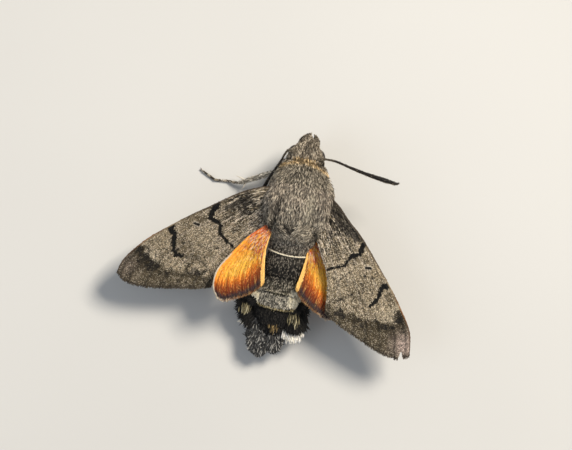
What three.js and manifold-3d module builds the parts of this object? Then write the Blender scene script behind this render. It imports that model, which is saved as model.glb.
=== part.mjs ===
// Hummingbird hawk moth at rest: wings half open, standing on six feet.
// Millimetres, +Z up, head toward -Y, the moth's left side toward +X.
// Body places are measured from the middle of the thorax, at floor level; the last lines
// move the whole moth so that the middle of its outline lies over the origin.
import * as THREE from 'three';
import { mergeVertices } from 'three/addons/utils/BufferGeometryUtils.js';
import Module from 'manifold-3d';

const wasm = await Module();
wasm.setup();

// Driving sizes
const GAP = 0.3; // clear space kept between neighbouring pieces
const MEMBRANE = 0.5; // thickness of a wing
const RIM = 0.36; // thickness of a wing at its outer edge
const VEIN_HEIGHT = 0.12; // how far a vein stands out of the membrane
const VEIN_HALF_SPREAD = 0.014; // half width of a vein, as a share of the fan of veins
const VEIN_RISE = 0.1; // half of the stretch over which a vein rises, as a share of the span
const FLOOR = 0;
const SHOULDER_HALF_WIDTH = 3.85; // the thorax's greatest half width

// Cross sections of the body: [y, half width, top, underside]. A roundness of 1 is an ellipse,
// and less is squarer at the shoulders.
const THORAX = {
  roundness: 0.94,
  sections: [
    [-4.5, 2.3, 7.9, 3.6],
    [-3.5, 3.0, 8.6, 2.9],
    [-2.1, 3.6, 9.2, 2.3],
    [-0.5, SHOULDER_HALF_WIDTH, 9.5, 2.0],
    [1.2, 3.75, 9.45, 2.1],
    [2.8, 3.4, 9.0, 2.5],
    [4.3, 2.9, 8.2, 3.1],
    [5.6, 2.2, 7.0, 3.7],
  ],
};
const COLLAR = {
  roundness: 0.9,
  sections: [
    [-5.3, 2.0, 7.5, 4.1],
    [-5.1, 2.35, 7.9, 3.8],
    [-4.8, 2.4, 8.0, 3.7],
  ],
};
const HEAD = {
  roundness: 0.78,
  sections: [
    [-5.6, 2.15, 7.4, 4.3],
    [-6.2, 2.15, 7.5, 3.9],
    [-6.9, 1.85, 7.3, 4.1],
    [-7.7, 1.35, 6.85, 4.4],
    [-8.4, 0.8, 6.3, 4.75],
    [-8.9, 0.35, 5.85, 5.1],
  ],
};
const ABDOMEN = {
  roundness: 1.0,
  sections: [
    [5.9, 2.2, 6.4, 3.3],
    [7.0, 2.5, 6.1, 2.3],
    [9.0, 2.9, 5.85, 1.6],
    [11.0, 3.05, 5.5, 1.3],
    [12.8, 2.9, 5.0, 1.2],
    [14.2, 2.45, 4.4, 1.3],
    [15.2, 1.9, 3.8, 1.5],
  ],
};
const TAIL_CORE = {
  roundness: 1.0,
  sections: [
    [15.5, 1.75, 3.65, 1.6],
    [16.4, 1.75, 3.35, 1.65],
    [17.4, 1.3, 2.9, 1.9],
  ],
};
const SEGMENT_ENDS = [6.9, 8.98, 11.08, 13.2, 15.2];
const SEGMENT_LIP = 0.12; // each ring of the abdomen overhangs the next by this much
const RING_EDGES = { step: 0.04, neck: 0.4, brim: 0.3 }; // extra places at both ends of a ring
const WAIST = 8.98; // the abdomen is parted at this ring

// Eyes
const EYE_RADIUS = 1.05;
const EYE_CENTRE = { x: 1.3, y: -6.35, z: 5.25 };
const EYE_BACK = 1.05; // the eye's flat back, measured from the middle of the head

// Palps: upturned in front of the face; points and radii from root to tip
const PALP_POINTS = [
  [0.95, -6.4, 3.45], [1.0, -7.3, 3.5], [0.85, -8.2, 4.3], [0.5, -8.75, 5.2], [0.32, -9.05, 5.75],
];
const PALP_RADII = [0.34, 0.42, 0.4, 0.3, 0.12];

// Tongue: a coil in the middle plane between the palps, led up to the mouth
const TONGUE = {
  radius: 0.24,
  outer: 1.0,
  pitch: 0.51,
  turns: 1.25,
  centre: { y: -7.25, z: 2.6 },
  startAngle: 75,
  pointsPerTurn: 12,
};

// Tegula: the hairy flap over each shoulder, as a patch of the thorax's surface
const TEGULA = {
  front: -3.9,
  rear: 3.3,
  topAngle: 38,
  lowAngle: 74,
  thickness: 0.55,
  edgeShare: 0.35, // thickness at its two ends, as a share
  domeShare: 0.45, // how much of the thickness is lost toward its long edges
  frontBulk: 0.8, // under 1 puts the widest place nearer the front
  bluntness: 0.6, // under 1 makes the ends rounder
};

// Hair of the thorax's rear: rows of locks that lie back over the waist
const MANE_ROWS = [
  { y: 2.4, spread: 24, count: 3, length: 1.9 },
  { y: 3.4, spread: 52, count: 6, length: 2.0 },
  { y: 4.4, spread: 68, count: 7, length: 1.9 },
  { y: 5.15, spread: 80, count: 8, length: 1.5 },
];
const MANE_LOCK = { width: 0.95, thickness: 0.45, lift: 0.22, level: 0.06, turnSpread: 6, swerve: 0.16 };

// Hair at the rear end of each tegula
const TEGULA_LOCK = {
  count: 5,
  length: 1.7,
  width: 0.75,
  thickness: 0.45,
  lift: 0.12,
  rootBack: 0.9, // how far ahead of the flap's rear end the locks are rooted
  rootCurve: 0.3,
  spread: 0.45, // radians round the thorax, from the first lock to the last
  heading: 4, // degrees outward of straight rearward
  fan: 12,
  fall: 0.28,
};

// Hair tufts along the flanks of the abdomen: place, reach outward and rearward, and height
const FLANK_TUFTS = [
  { y: 11.4, out: 1.75, back: 1.4, z: 3.5, sides: [1, -1] },
  { y: 12.6, out: 1.75, back: 1.9, z: 3.2, sides: [1, -1] },
  { y: 13.6, out: 1.75, back: 2.2, z: 2.9, sides: [1, -1] },
  { y: 14.4, out: 1.75, back: 2.8, z: 2.6, sides: [-1] },
  { y: 14.4, out: 1.1, back: 2.0, z: 2.6, sides: [1] },
];
const TUFT_LAST_ROOT = 13.8; // rear of this the flank is too narrow to set a tuft by
const FLANK_LOCK = {
  count: 4,
  width: 1.1,
  thickness: 0.5,
  fan: 22,
  sunk: 0.45, // roots lie this far inside the flank
  spacing: 0.9, // along the flank, from the first lock of a tuft to the last
  layerHeight: 0.28, // the tuft's two layers lie this far above and below its height
  fall: 0.12,
  lift: 0.1,
  swerve: 0.1,
};

// Tail fan: locks in an upper and a lower layer, in two lobes that end at their own places
const TAIL_LAYERS = [
  { y: 16.2, z: 2.75, count: 8, shorter: 0 },
  { y: 15.9, z: 2.2, count: 7, shorter: 0.6 },
];
const TAIL_LOCK = {
  width: 1.1,
  thickness: 0.5,
  halfSpan: 1.6,
  middle: 0.2, // the fan stands a little to the moth's left
  lean: 2, // and leans that way, in degrees
  fan: 13,
  rootShare: 0.85, // the roots stand closer together than the middles by this share
  fall: 0.05,
  lift: 0.06,
  inturn: 0.06, // how much the outer locks bend back toward the middle
};
const TAIL_LOBES = {
  left: { x: 0.95, end: 19.85 },
  right: { x: -1.0, end: 19.05 },
  notch: 18.8,
  notchX: -0.2,
};

// Halves of a lock's width and thickness along it, as shares, before it narrows to its point
const LOCK_TAPER = [
  { place: 0, share: 0.85 },
  { place: 0.4, share: 1 },
  { place: 0.75, share: 0.72 },
];

// Wings, each in its own plan: [distance from the root toward the apex, distance rearward]
const FOREWING = {
  costa: [
    [-1.4, -0.7], [0, -1.45], [1.8, -1.94], [3.6, -2.19], [7.2, -2.27], [9.9, -2.34], [13.0, -2.28],
    [16.2, -2.06], [19.6, -1.2], [21.2, -0.1],
  ],
  margin: [[21.2, -0.1], [20.8, 1.4], [18.9, 3.1], [15.2, 5.1], [13.1, 6.15], [11.4, 6.75]],
  dorsum: [[-1.4, 2.2], [1.2, 3.1], [5.0, 3.95], [6.6, 4.2], [8.5, 4.9], [10.2, 5.9], [11.4, 6.75]],
  veins: [
    { place: 0.045, from: 0 },
    { place: 0.16, from: 0 },
    { place: 0.33, from: 0.5 },
    { place: 0.49, from: 0.5 },
    { place: 0.64, from: 0 },
    { place: 0.8, from: 0.4 },
    { place: 0.95, from: 0 },
  ],
  steps: 9,
};
// The right forewing's front edge is drawn back at its root
const FOREWING_RIGHT = {
  ...FOREWING,
  costa: [
    [-1.4, -0.3], [0, -0.72], [0.75, -0.89], [3.0, -1.16], [5.6, -1.61], [11.6, -1.88], [15.5, -1.83],
    [18.6, -1.47], [21.2, -0.1],
  ],
};
const HINDWING = {
  costa: [
    [-1.2, -0.4], [0, -0.8], [1.8, -1.45], [5.0, -1.95], [6.8, -2.15], [8.3, -1.9], [9.5, -1.2],
    [10.15, -0.3],
  ],
  margin: [[10.15, -0.3], [10.0, 0.7], [8.9, 1.65], [7.6, 2.6], [6.2, 3.25], [5.0, 3.4]],
  dorsum: [[-1.2, 0.5], [0, 0.7], [1.7, 1.25], [3.3, 2.2], [5.0, 3.4]],
  veins: [
    { place: 0.1, from: 0 },
    { place: 0.27, from: 0 },
    { place: 0.42, from: 0.4 },
    { place: 0.56, from: 0.4 },
    { place: 0.7, from: 0 },
    { place: 0.86, from: 0 },
  ],
  steps: 7,
};
// How each wing is held: root place, sweep from the tail's direction, falls per millimetre
// outward and rearward, and how much of the rearward fall is lost per millimetre of span.
const WING_POSES = {
  forewing_left: {
    side: 1, root: [3.37, -0.3, 7.0], sweep: 51.9,
    outFall: 0.12, rearFall: 0.3, untwist: 0.015,
  },
  forewing_right: {
    side: -1, root: [4.25, -0.9, 7.15], sweep: 39.2,
    outFall: 0.09, rearFall: 0.06, untwist: 0,
  },
  hindwing_left: {
    side: 1, root: [2.9, 4.0, 6.9], sweep: 24.8,
    outFall: 0.08, rearFall: 0, untwist: 0,
  },
  hindwing_right: {
    side: -1, root: [2.9, 3.8, 5.3], sweep: 27.0,
    outFall: 0.08, rearFall: -0.36, untwist: 0,
  },
};

// Legs: hip, knee, ankle and the tarsus's points, as [sideways, y, z]
const FOOT_HEIGHT = 0.2; // middle of a tarsus above the floor
const KNEE_SHIFT = 0.22; // the tibia starts this share of its length past the bend of the knee
const LEG_TAPER = { femur: 0.2, tibia: 0.08, tarsus: 0.03 }; // radius lost from end to end
const LEGS = {
  foreleg_left: {
    side: 1, radii: [0.62, 0.42, 0.3],
    points: [[0.95, -3.3, 3.3], [2.0, -4.6, 3.5], [1.9, -6.0, 0.95]],
    foot: [[1.6, -6.9], [1.05, -8.1]], spurs: [],
  },
  foreleg_right: {
    side: -1, radii: [0.62, 0.42, 0.3],
    points: [[0.95, -3.3, 3.3], [2.0, -4.7, 3.5], [1.8, -6.1, 0.95]],
    foot: [[1.45, -7.0], [0.75, -8.15]], spurs: [],
  },
  midleg_left: {
    side: 1, radii: [0.6, 0.36, 0.27],
    points: [[1.5, -1.0, 2.6], [3.2, -3.5, 3.5], [7.4, -1.35, 0.95]],
    foot: [[9.0, -1.2], [10.6, -1.05], [12.6, -1.9]], spurs: [0.84],
  },
  midleg_right: {
    side: -1, radii: [0.6, 0.36, 0.27],
    points: [[1.5, -0.9, 2.6], [4.0, 0.5, 3.7], [7.2, 3.5, 0.95]],
    foot: [[8.5, 4.9], [9.7, 6.2], [10.9, 7.9]], spurs: [0.84],
  },
  hindleg_left: {
    side: 1, radii: [0.62, 0.38, 0.27],
    points: [[1.3, 1.9, 2.8], [3.7, 4.0, 3.6], [5.0, 8.6, 0.95]],
    foot: [[5.3, 10.2], [5.5, 11.6], [5.5, 12.9]], spurs: [0.5, 0.84],
  },
  hindleg_right: {
    side: -1, radii: [0.62, 0.38, 0.27],
    points: [[1.3, 1.9, 2.8], [3.8, 3.9, 3.4], [5.3, 8.3, 0.95]],
    foot: [[5.8, 9.8], [6.2, 11.3], [6.5, 12.8]], spurs: [0.5, 0.84],
  },
};
const SPUR = { length: 1.15, shorter: 0.75, width: 0.32, splay: 0.9 };

// Feelers, from the socket on the head to the hooked end of the club
const ANTENNAE = {
  antenna_left: [
    [1.3, -6.2, 7.05], [2.2, -6.5, 7.0], [2.65, -5.95, 6.7], [2.95, -5.0, 6.2], [3.55, -3.6, 5.4],
    [4.1, -2.2, 4.75], [4.5, -0.6, 4.4], [4.8, 1.2, 4.3], [5.05, 2.8, 4.3],
  ],
  antenna_right: [
    [-1.3, -6.1, 7.05], [-2.73, -6.3, 7.3], [-4.05, -6.22, 7.45], [-5.74, -5.87, 7.6],
    [-7.43, -5.57, 7.7], [-9.1, -5.35, 7.75], [-11.5, -5.12, 7.6],
  ],
};
const ANTENNA_RADII = { base: 0.25, club: 0.33, tip: 0.08 };
const ANTENNA_CLUB = { starts: 0.45, fullest: 0.85, tapersFrom: 0.88 }; // shares of its length

// Colours
const COLOURS = {
  fur: 0x6f685c, wing: 0x7a6e60, hindwing: 0xe8941e, abdomen: 0x4a4743, tail: 0x2e2d30,
  collar: 0x9a8566, eye: 0x1b1510, palp: 0x8a8070, tongue: 0x3a2a1c, antenna: 0x241d18, leg: 0x5c5348,
};

const SIDES = [['left', 1], ['right', -1]];
const TUBE_SIDES = 8; // sides of a leg, palp or feeler
const TONGUE_SIDES = 7;
const TONGUE_STEPS = 26;

// Seeded random numbers in [0, 1)
function randomSource(seed) {
  let state = seed;
  return () => {
    state = (state * 1664525 + 1013904223) % 4294967296;
    return state / 4294967296;
  };
}

// A number that varies by up to half of the spread to either side of its middle value.
const varied = (middle, spread, random) => middle + spread * (random() - 0.5);

// Closed skin through a row of rings of equal count; a ring of one point is a tip.
function closedLoft(rings) {
  const positions = [];
  const faces = [];
  const starts = rings.map((ring) => {
    const start = positions.length / 3;
    ring.forEach((p) => positions.push(p.x, p.y, p.z));
    return start;
  });
  for (let i = 0; i + 1 < rings.length; i += 1) {
    const near = rings[i].length;
    const far = rings[i + 1].length;
    const count = Math.max(near, far);
    for (let j = 0; j < count; j += 1) {
      const next = (j + 1) % count;
      const a = starts[i] + (near === 1 ? 0 : j);
      const b = starts[i] + (near === 1 ? 0 : next);
      const c = starts[i + 1] + (far === 1 ? 0 : j);
      const d = starts[i + 1] + (far === 1 ? 0 : next);
      if (near > 1) faces.push(a, b, d);
      if (far > 1) faces.push(a, d, c);
    }
  }
  capRing(rings[0], starts[0], positions, faces, true);
  capRing(rings[rings.length - 1], starts[rings.length - 1], positions, faces, false);
  return indexedGeometry(positions, faces);
}

// Flat end of a loft: a fan from the middle of the ring.
function capRing(ring, start, positions, faces, facesBack) {
  if (ring.length === 1) return;
  const middle = ring.reduce((sum, p) => sum.add(p), new THREE.Vector3()).divideScalar(ring.length);
  const centre = positions.length / 3;
  positions.push(middle.x, middle.y, middle.z);
  ring.forEach((_, j) => {
    const next = (j + 1) % ring.length;
    if (facesBack) faces.push(centre, start + next, start + j);
    else faces.push(centre, start + j, start + next);
  });
}

function indexedGeometry(positions, faces) {
  const geometry = new THREE.BufferGeometry();
  geometry.setAttribute('position', new THREE.Float32BufferAttribute(positions, 3));
  geometry.setIndex(faces);
  return geometry;
}

function signedVolume(positions, faces) {
  const a = new THREE.Vector3();
  const b = new THREE.Vector3();
  const c = new THREE.Vector3();
  let sum = 0;
  for (let k = 0; k < faces.length; k += 3) {
    a.fromArray(positions, 3 * faces[k]);
    b.fromArray(positions, 3 * faces[k + 1]);
    c.fromArray(positions, 3 * faces[k + 2]);
    sum += a.dot(b.cross(c));
  }
  return sum;
}

// A closed three.js geometry as a solid, turned so that its faces point out.
function solidOf(geometry) {
  const plain = geometry.clone();
  plain.deleteAttribute('normal');
  plain.deleteAttribute('uv');
  const merged = mergeVertices(plain, 1e-5);
  const positions = Float32Array.from(merged.attributes.position.array);
  const faces = Uint32Array.from(merged.index.array);
  if (signedVolume(positions, faces) < 0) {
    for (let k = 0; k < faces.length; k += 3) {
      [faces[k + 1], faces[k + 2]] = [faces[k + 2], faces[k + 1]];
    }
  }
  return new wasm.Manifold(new wasm.Mesh({ numProp: 3, vertProperties: positions, triVerts: faces }));
}

// The largest closed surface of a solid, as a geometry.
function geometryOf(solid) {
  const pieces = solid.decompose();
  const largest = pieces.reduce((best, piece) => (piece.volume() > best.volume() ? piece : best));
  const mesh = largest.getMesh();
  return indexedGeometry(Array.from(mesh.vertProperties), Array.from(mesh.triVerts));
}

const unionOf = (solids) => solids.reduce((sum, solid) => sum.add(solid));

// Smooth value of one column of a table of cross sections at y (cubic between the rows).
function sectionValue({ sections: table }, column, y) {
  const last = table.length - 1;
  let i = 0;
  while (i < last - 1 && y > table[i + 1][0] === (table[last][0] > table[0][0])) i += 1;
  const slopeAt = (k) => {
    const before = table[Math.max(k - 1, 0)];
    const after = table[Math.min(k + 1, last)];
    return (after[column] - before[column]) / (after[0] - before[0]);
  };
  const span = table[i + 1][0] - table[i][0];
  const k = THREE.MathUtils.clamp((y - table[i][0]) / span, 0, 1);
  const h = k * k * (3 - 2 * k);
  const bend = k * (1 - k) * ((1 - k) * slopeAt(i) - k * slopeAt(i + 1)) * span;
  return table[i][column] * (1 - h) + table[i + 1][column] * h + bend;
}

// Point on a body's surface: angle 0 is the top, positive to the moth's left.
function bodyPoint(table, y, angle, offset = 0) {
  const halfWidth = sectionValue(table, 1, y) + offset;
  const top = sectionValue(table, 2, y) + offset;
  const under = sectionValue(table, 3, y) - offset;
  const middle = (top + under) / 2;
  const halfHeight = (top - under) / 2;
  const rounded = (value) => Math.sign(value) * Math.abs(value) ** table.roundness;
  const x = halfWidth * rounded(Math.sin(angle));
  return new THREE.Vector3(x, y, middle + halfHeight * rounded(Math.cos(angle)));
}

// Outward direction of a body's surface, from two small steps over it.
function bodyNormal(table, y, angle) {
  const step = 0.02;
  const here = bodyPoint(table, y, angle);
  const around = bodyPoint(table, y, angle + step).sub(here);
  const along = bodyPoint(table, y + step, angle).sub(here);
  return along.cross(around).normalize();
}

// A body's solid: elliptical rings at the given places along it, grown by offset.
function bodySolid(table, places, sides, offset = 0, swell = () => 0) {
  const first = places[0];
  const last = places[places.length - 1];
  const rings = places.map((y) => {
    const shift = y === first ? -offset : y === last ? offset : 0;
    return Array.from({ length: sides }, (_, j) => {
      const p = bodyPoint(table, y, (2 * Math.PI * j) / sides, offset + swell(y));
      p.y += shift * Math.sign(last - first);
      return p;
    });
  });
  return solidOf(closedLoft(rings));
}

function evenPlaces(from, to, count) {
  return Array.from({ length: count + 1 }, (_, i) => from + ((to - from) * i) / count);
}

// Rounded tube along a curve, from one parameter to another, its radius given by a function.
// Points that would sink below the floor are laid on it, which gives a foot its flat.
function taperedTube(curve, from, to, steps, sides, radiusAt) {
  const up = new THREE.Vector3(0, 0, 1);
  const rings = evenPlaces(from, to, steps).map((t) => {
    const centre = curve.getPoint(t);
    const tangent = curve.getTangent(t);
    const across = new THREE.Vector3().crossVectors(tangent, up).normalize();
    const lift = new THREE.Vector3().crossVectors(across, tangent);
    const radius = radiusAt((t - from) / (to - from));
    return Array.from({ length: sides }, (_, j) => {
      const angle = (2 * Math.PI * (j + 0.5)) / sides;
      const p = centre.clone().addScaledVector(across, radius * Math.sin(angle));
      p.addScaledVector(lift, radius * Math.cos(angle));
      p.z = Math.max(p.z, FLOOR);
      return p;
    });
  });
  return solidOf(closedLoft(rings));
}

// Flat tapered lock of hair: from a root sunk below the surface it rises, arches over and
// bends back, with diamond sections that narrow to a point.
function lockSolid({ root, along, out, length, width, thickness, lift, sink = 0.35, swerve = 0 }) {
  const across = new THREE.Vector3().crossVectors(along, out).normalize();
  const spine = (k) => {
    const rise = lift * length * k * (1.6 - k) - sink * (1 - k) ** 2;
    const p = root.clone().addScaledVector(along, length * k);
    return p.addScaledVector(out, rise).addScaledVector(across, swerve * length * k * k);
  };
  const rings = LOCK_TAPER.map(({ place, share }) => {
    const halfWidth = (width * share) / 2;
    const halfThick = (thickness * share) / 2;
    return [[-halfWidth, 0], [0, halfThick], [halfWidth, 0], [0, -halfThick]].map(([w, h]) => {
      return spine(place).addScaledVector(across, w).addScaledVector(out, h);
    });
  });
  return solidOf(closedLoft([...rings, [spine(1)]]));
}

// Direction in the horizontal plane: angle 0 points rearward, positive to the moth's left.
function rearward(degrees, fall = 0) {
  const angle = THREE.MathUtils.degToRad(degrees);
  return new THREE.Vector3(Math.sin(angle), Math.cos(angle), -fall).normalize();
}

// Sphere, or any other convex three.js solid, moved to a place.
function placedSolid(geometry, x, y, z) {
  geometry.translate(x, y, z);
  return solidOf(geometry);
}

// Wing plan: costa and dorsum joined by straight lines, bent so that the far ends follow
// the outer margin. t runs from root to margin, w from costa to dorsum along the fan.
function wingPlan(shape) {
  const curveOf = (points) => new THREE.SplineCurve(points.map(([s, c]) => new THREE.Vector2(s, c)));
  const costa = curveOf(shape.costa);
  const margin = curveOf(shape.margin);
  const dorsum = curveOf(shape.dorsum);
  const apex = costa.getPointAt(1);
  const tornus = dorsum.getPointAt(1);
  return (t, w) => {
    const p = costa.getPointAt(t).lerp(dorsum.getPointAt(t), w);
    const chordEnd = apex.clone().lerp(tornus, w);
    return p.add(margin.getPointAt(w).sub(chordEnd).multiplyScalar(t));
  };
}

// From a wing's own plan to the moth: turned by the sweep, with its falls.
function wingPlace(pose, s, c) {
  const sweep = THREE.MathUtils.degToRad(pose.sweep);
  const x = pose.root[0] + s * Math.sin(sweep) - c * Math.cos(sweep);
  const y = pose.root[1] + s * Math.cos(sweep) + c * Math.sin(sweep);
  const fall = pose.outFall * s + (pose.rearFall - pose.untwist * s) * c;
  return new THREE.Vector3(pose.side * x, y, pose.root[2] - fall);
}

// Columns of a wing's grid: three to a vein and one at each edge.
function wingColumns(veins) {
  const columns = [{ w: 0, vein: null }];
  veins.forEach((vein) => {
    columns.push({ w: vein.place - VEIN_HALF_SPREAD, vein: null });
    columns.push({ w: vein.place, vein });
    columns.push({ w: vein.place + VEIN_HALF_SPREAD, vein: null });
  });
  columns.push({ w: 1, vein: null });
  return columns;
}

// A vein rises over a short stretch about the place that it starts from.
function veinGrowth(vein, t) {
  return THREE.MathUtils.smoothstep(t, vein.from - VEIN_RISE, vein.from + VEIN_RISE);
}

// Wing: an upper and a lower face on one grid, alike in their triangles, closed by a rim.
function wingSolid(shape, pose, grow = 0) {
  const plan = wingPlan(shape);
  const columns = wingColumns(shape.veins);
  const rows = evenPlaces(0, 1, shape.steps);
  const upper = [];
  const lower = [];
  rows.forEach((t, i) => {
    columns.forEach((column, j) => {
      const atEdge = i === rows.length - 1 || j === 0 || j === columns.length - 1;
      const standing = column.vein && !atEdge ? VEIN_HEIGHT * veinGrowth(column.vein, t) : 0;
      const half = (atEdge ? RIM : MEMBRANE) / 2 + standing + grow;
      const p = plan(t, column.w);
      if (i === rows.length - 1) p.x += grow;
      if (j === 0) p.y -= grow;
      if (j === columns.length - 1) p.y += grow;
      const place = wingPlace(pose, p.x, p.y);
      upper.push(place.x, place.y, place.z + half);
      lower.push(place.x, place.y, place.z - half);
    });
  });
  const width = columns.length;
  const below = upper.length / 3;
  const faces = [];
  for (let i = 0; i + 1 < rows.length; i += 1) {
    for (let j = 0; j + 1 < width; j += 1) {
      const a = i * width + j;
      const b = a + 1;
      const c = a + width;
      const d = c + 1;
      faces.push(a, b, d, a, d, c);
      faces.push(below + a, below + d, below + b, below + a, below + c, below + d);
    }
  }
  const rim = [];
  for (let j = 0; j < width; j += 1) rim.push(j);
  for (let i = 1; i < rows.length; i += 1) rim.push(i * width + width - 1);
  for (let j = width - 2; j >= 0; j -= 1) rim.push((rows.length - 1) * width + j);
  for (let i = rows.length - 2; i > 0; i -= 1) rim.push(i * width);
  rim.forEach((a, k) => {
    const b = rim[(k + 1) % rim.length];
    faces.push(a, below + a, b, b, below + a, below + b);
  });
  return solidOf(indexedGeometry([...upper, ...lower], faces));
}

const moth = new THREE.Group();

function addPiece(name, solid, colour, roughness) {
  const material = new THREE.MeshStandardMaterial({ color: colour, roughness, metalness: 0 });
  const mesh = new THREE.Mesh(geometryOf(solid), material);
  mesh.name = name;
  moth.add(mesh);
}

// Body: the thorax has a few more sides than the other lengths
const THORAX_SIDES = 24;
const BODY_SIDES = 20;
const TAIL_SIDES = 16;
const ABDOMEN_START = ABDOMEN.sections[0][0];
const ABDOMEN_END = SEGMENT_ENDS[SEGMENT_ENDS.length - 1];
const endsOf = ({ sections }) => [sections[0][0], sections[sections.length - 1][0]];
const thoraxPlaces = evenPlaces(...endsOf(THORAX), 12);
const headPlaces = evenPlaces(...endsOf(HEAD), 8);
const thoraxClear = bodySolid(THORAX, thoraxPlaces, THORAX_SIDES, GAP);
const headClear = bodySolid(HEAD, headPlaces, BODY_SIDES, GAP);
const collarPlaces = COLLAR.sections.map(([y]) => y);

// Places along the abdomen: each ring of it widens toward its rear edge, then steps in.
function abdomenPlaces(from, to) {
  const starts = [ABDOMEN_START, ...SEGMENT_ENDS];
  const places = [];
  for (let k = 0; k + 1 < starts.length; k += 1) {
    const front = starts[k];
    const rear = starts[k + 1];
    const { step, neck, brim } = RING_EDGES;
    [front + step, front + neck, (front + rear) / 2, rear - brim, rear].forEach((y) => {
      if (y > from - step / 4 && y < to + step / 4) places.push(y);
    });
  }
  return places;
}

function segmentSwell(y) {
  const rear = SEGMENT_ENDS.find((end) => y <= end + 1e-6) ?? ABDOMEN_END;
  const index = SEGMENT_ENDS.indexOf(rear);
  const front = index === 0 ? ABDOMEN_START : SEGMENT_ENDS[index - 1];
  return SEGMENT_LIP * ((y - front) / (rear - front));
}

const frontPlaces = abdomenPlaces(ABDOMEN_START, WAIST);
const abdomenFront = bodySolid(ABDOMEN, frontPlaces, BODY_SIDES, 0, segmentSwell);
addPiece('abdomen_front', abdomenFront, COLOURS.abdomen, 0.95);

// Tuft on a flank: a fan of locks in two layers, out of the side and rearward
function flankTuft(side, { y, out, back, z }, random) {
  const middleAngle = THREE.MathUtils.radToDeg(Math.atan2(out, back));
  const reach = Math.hypot(out, back);
  return Array.from({ length: FLANK_LOCK.count }, (_, i) => {
    const share = i / (FLANK_LOCK.count - 1) - 0.5;
    const angle = middleAngle - 2 * FLANK_LOCK.fan * share;
    const height = z + FLANK_LOCK.layerHeight * (i % 2 === 0 ? 1 : -1);
    const inside = sectionValue(ABDOMEN, 1, Math.min(y, TUFT_LAST_ROOT)) - FLANK_LOCK.sunk;
    return lockSolid({
      root: new THREE.Vector3(side * inside, y + FLANK_LOCK.spacing * share, height),
      along: rearward(side * angle, FLANK_LOCK.fall),
      out: new THREE.Vector3(0, 0, 1),
      length: reach * varied(1, 0.16, random),
      width: FLANK_LOCK.width,
      thickness: FLANK_LOCK.thickness,
      lift: varied(FLANK_LOCK.lift, 0.05, random),
      sink: 0,
      swerve: -side * FLANK_LOCK.swerve,
    });
  });
}

// Tail: a short core that carries the fan of locks
const tailPlaces = evenPlaces(...endsOf(TAIL_CORE), 3);
const tailCore = (grow) => bodySolid(TAIL_CORE, tailPlaces, TAIL_SIDES, grow);
function tailLocks(grow) {
  const random = randomSource(11);
  const locks = [];
  TAIL_LAYERS.forEach(({ y, z, count, shorter }) => {
    for (let i = 0; i < count; i += 1) {
      const share = (2 * i) / (count - 1) - 1;
      const x = TAIL_LOCK.middle + TAIL_LOCK.halfSpan * share;
      const { left, right, notch, notchX } = TAIL_LOBES;
      const lobe = x > notchX ? left : right;
      const far = Math.abs(x - lobe.x) / Math.abs(lobe.x - notchX);
      const edge = THREE.MathUtils.lerp(lobe.end, notch, Math.min(far, 1) ** 2);
      const end = varied(edge - shorter - 0.12, 0.25, random);
      locks.push(lockSolid({
        root: new THREE.Vector3(x * TAIL_LOCK.rootShare, y - grow, z),
        along: rearward(TAIL_LOCK.lean + TAIL_LOCK.fan * share, TAIL_LOCK.fall),
        out: new THREE.Vector3(0, 0, 1),
        length: end - y + 2 * grow,
        width: TAIL_LOCK.width + 2 * grow,
        thickness: TAIL_LOCK.thickness + 2 * grow,
        lift: varied(TAIL_LOCK.lift, 0.05, random),
        sink: 0,
        swerve: varied(-TAIL_LOCK.inturn * share, 0.08, random),
      }));
    }
  });
  return locks;
}

// Rear of the abdomen, with its tufts, cut clear of the tail
const rearPlaces = [WAIST + GAP, ...abdomenPlaces(WAIST + RING_EDGES.neck, ABDOMEN_END)];
const rearParts = [bodySolid(ABDOMEN, rearPlaces, BODY_SIDES, 0, segmentSwell)];
const tuftRandom = randomSource(5);
FLANK_TUFTS.forEach((tuft) => {
  tuft.sides.forEach((side) => rearParts.push(...flankTuft(side, tuft, tuftRandom)));
});
const tailClear = unionOf([tailCore(GAP), ...tailLocks(GAP)]);
addPiece('abdomen_rear', unionOf(rearParts).subtract(tailClear), COLOURS.abdomen, 0.95);
addPiece('tail_fan', unionOf([tailCore(0), ...tailLocks(0)]), COLOURS.tail, 0.9);

// Eyes, each a cap of a ball with a flat back, and the head with their sockets cut out
function eyeSolid(side, grow) {
  const { x, y, z } = EYE_CENTRE;
  const ball = placedSolid(new THREE.IcosahedronGeometry(EYE_RADIUS + grow, 3), side * x, y, z);
  const size = 4 * EYE_RADIUS;
  const block = new THREE.BoxGeometry(size, size, size);
  return ball.intersect(placedSolid(block, side * (EYE_BACK - grow + size / 2), y, z));
}
let headSolid = bodySolid(HEAD, headPlaces, BODY_SIDES);
let collarSolid = bodySolid(COLLAR, collarPlaces, BODY_SIDES);
SIDES.forEach(([sideName, side]) => {
  headSolid = headSolid.subtract(eyeSolid(side, GAP));
  collarSolid = collarSolid.subtract(eyeSolid(side, GAP));
  addPiece(`eye_${sideName}`, eyeSolid(side, 0), COLOURS.eye, 0.2);
});
addPiece('head', headSolid, COLOURS.fur, 0.95);
addPiece('collar', collarSolid, COLOURS.collar, 0.95);

// Palps, cut clear of the head
SIDES.forEach(([sideName, side]) => {
  const curve = new THREE.CatmullRomCurve3(PALP_POINTS.map(([x, y, z]) => new THREE.Vector3(side * x, y, z)));
  const lastRadius = PALP_RADII.length - 1;
  const radii = new THREE.SplineCurve(PALP_RADII.map((r, i) => new THREE.Vector2(i / lastRadius, r)));
  const palp = taperedTube(curve, 0, 1, 8, TUBE_SIDES, (k) => radii.getPoint(k).y);
  addPiece(`palp_${sideName}`, palp.subtract(headClear), COLOURS.palp, 0.9);
});

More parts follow.
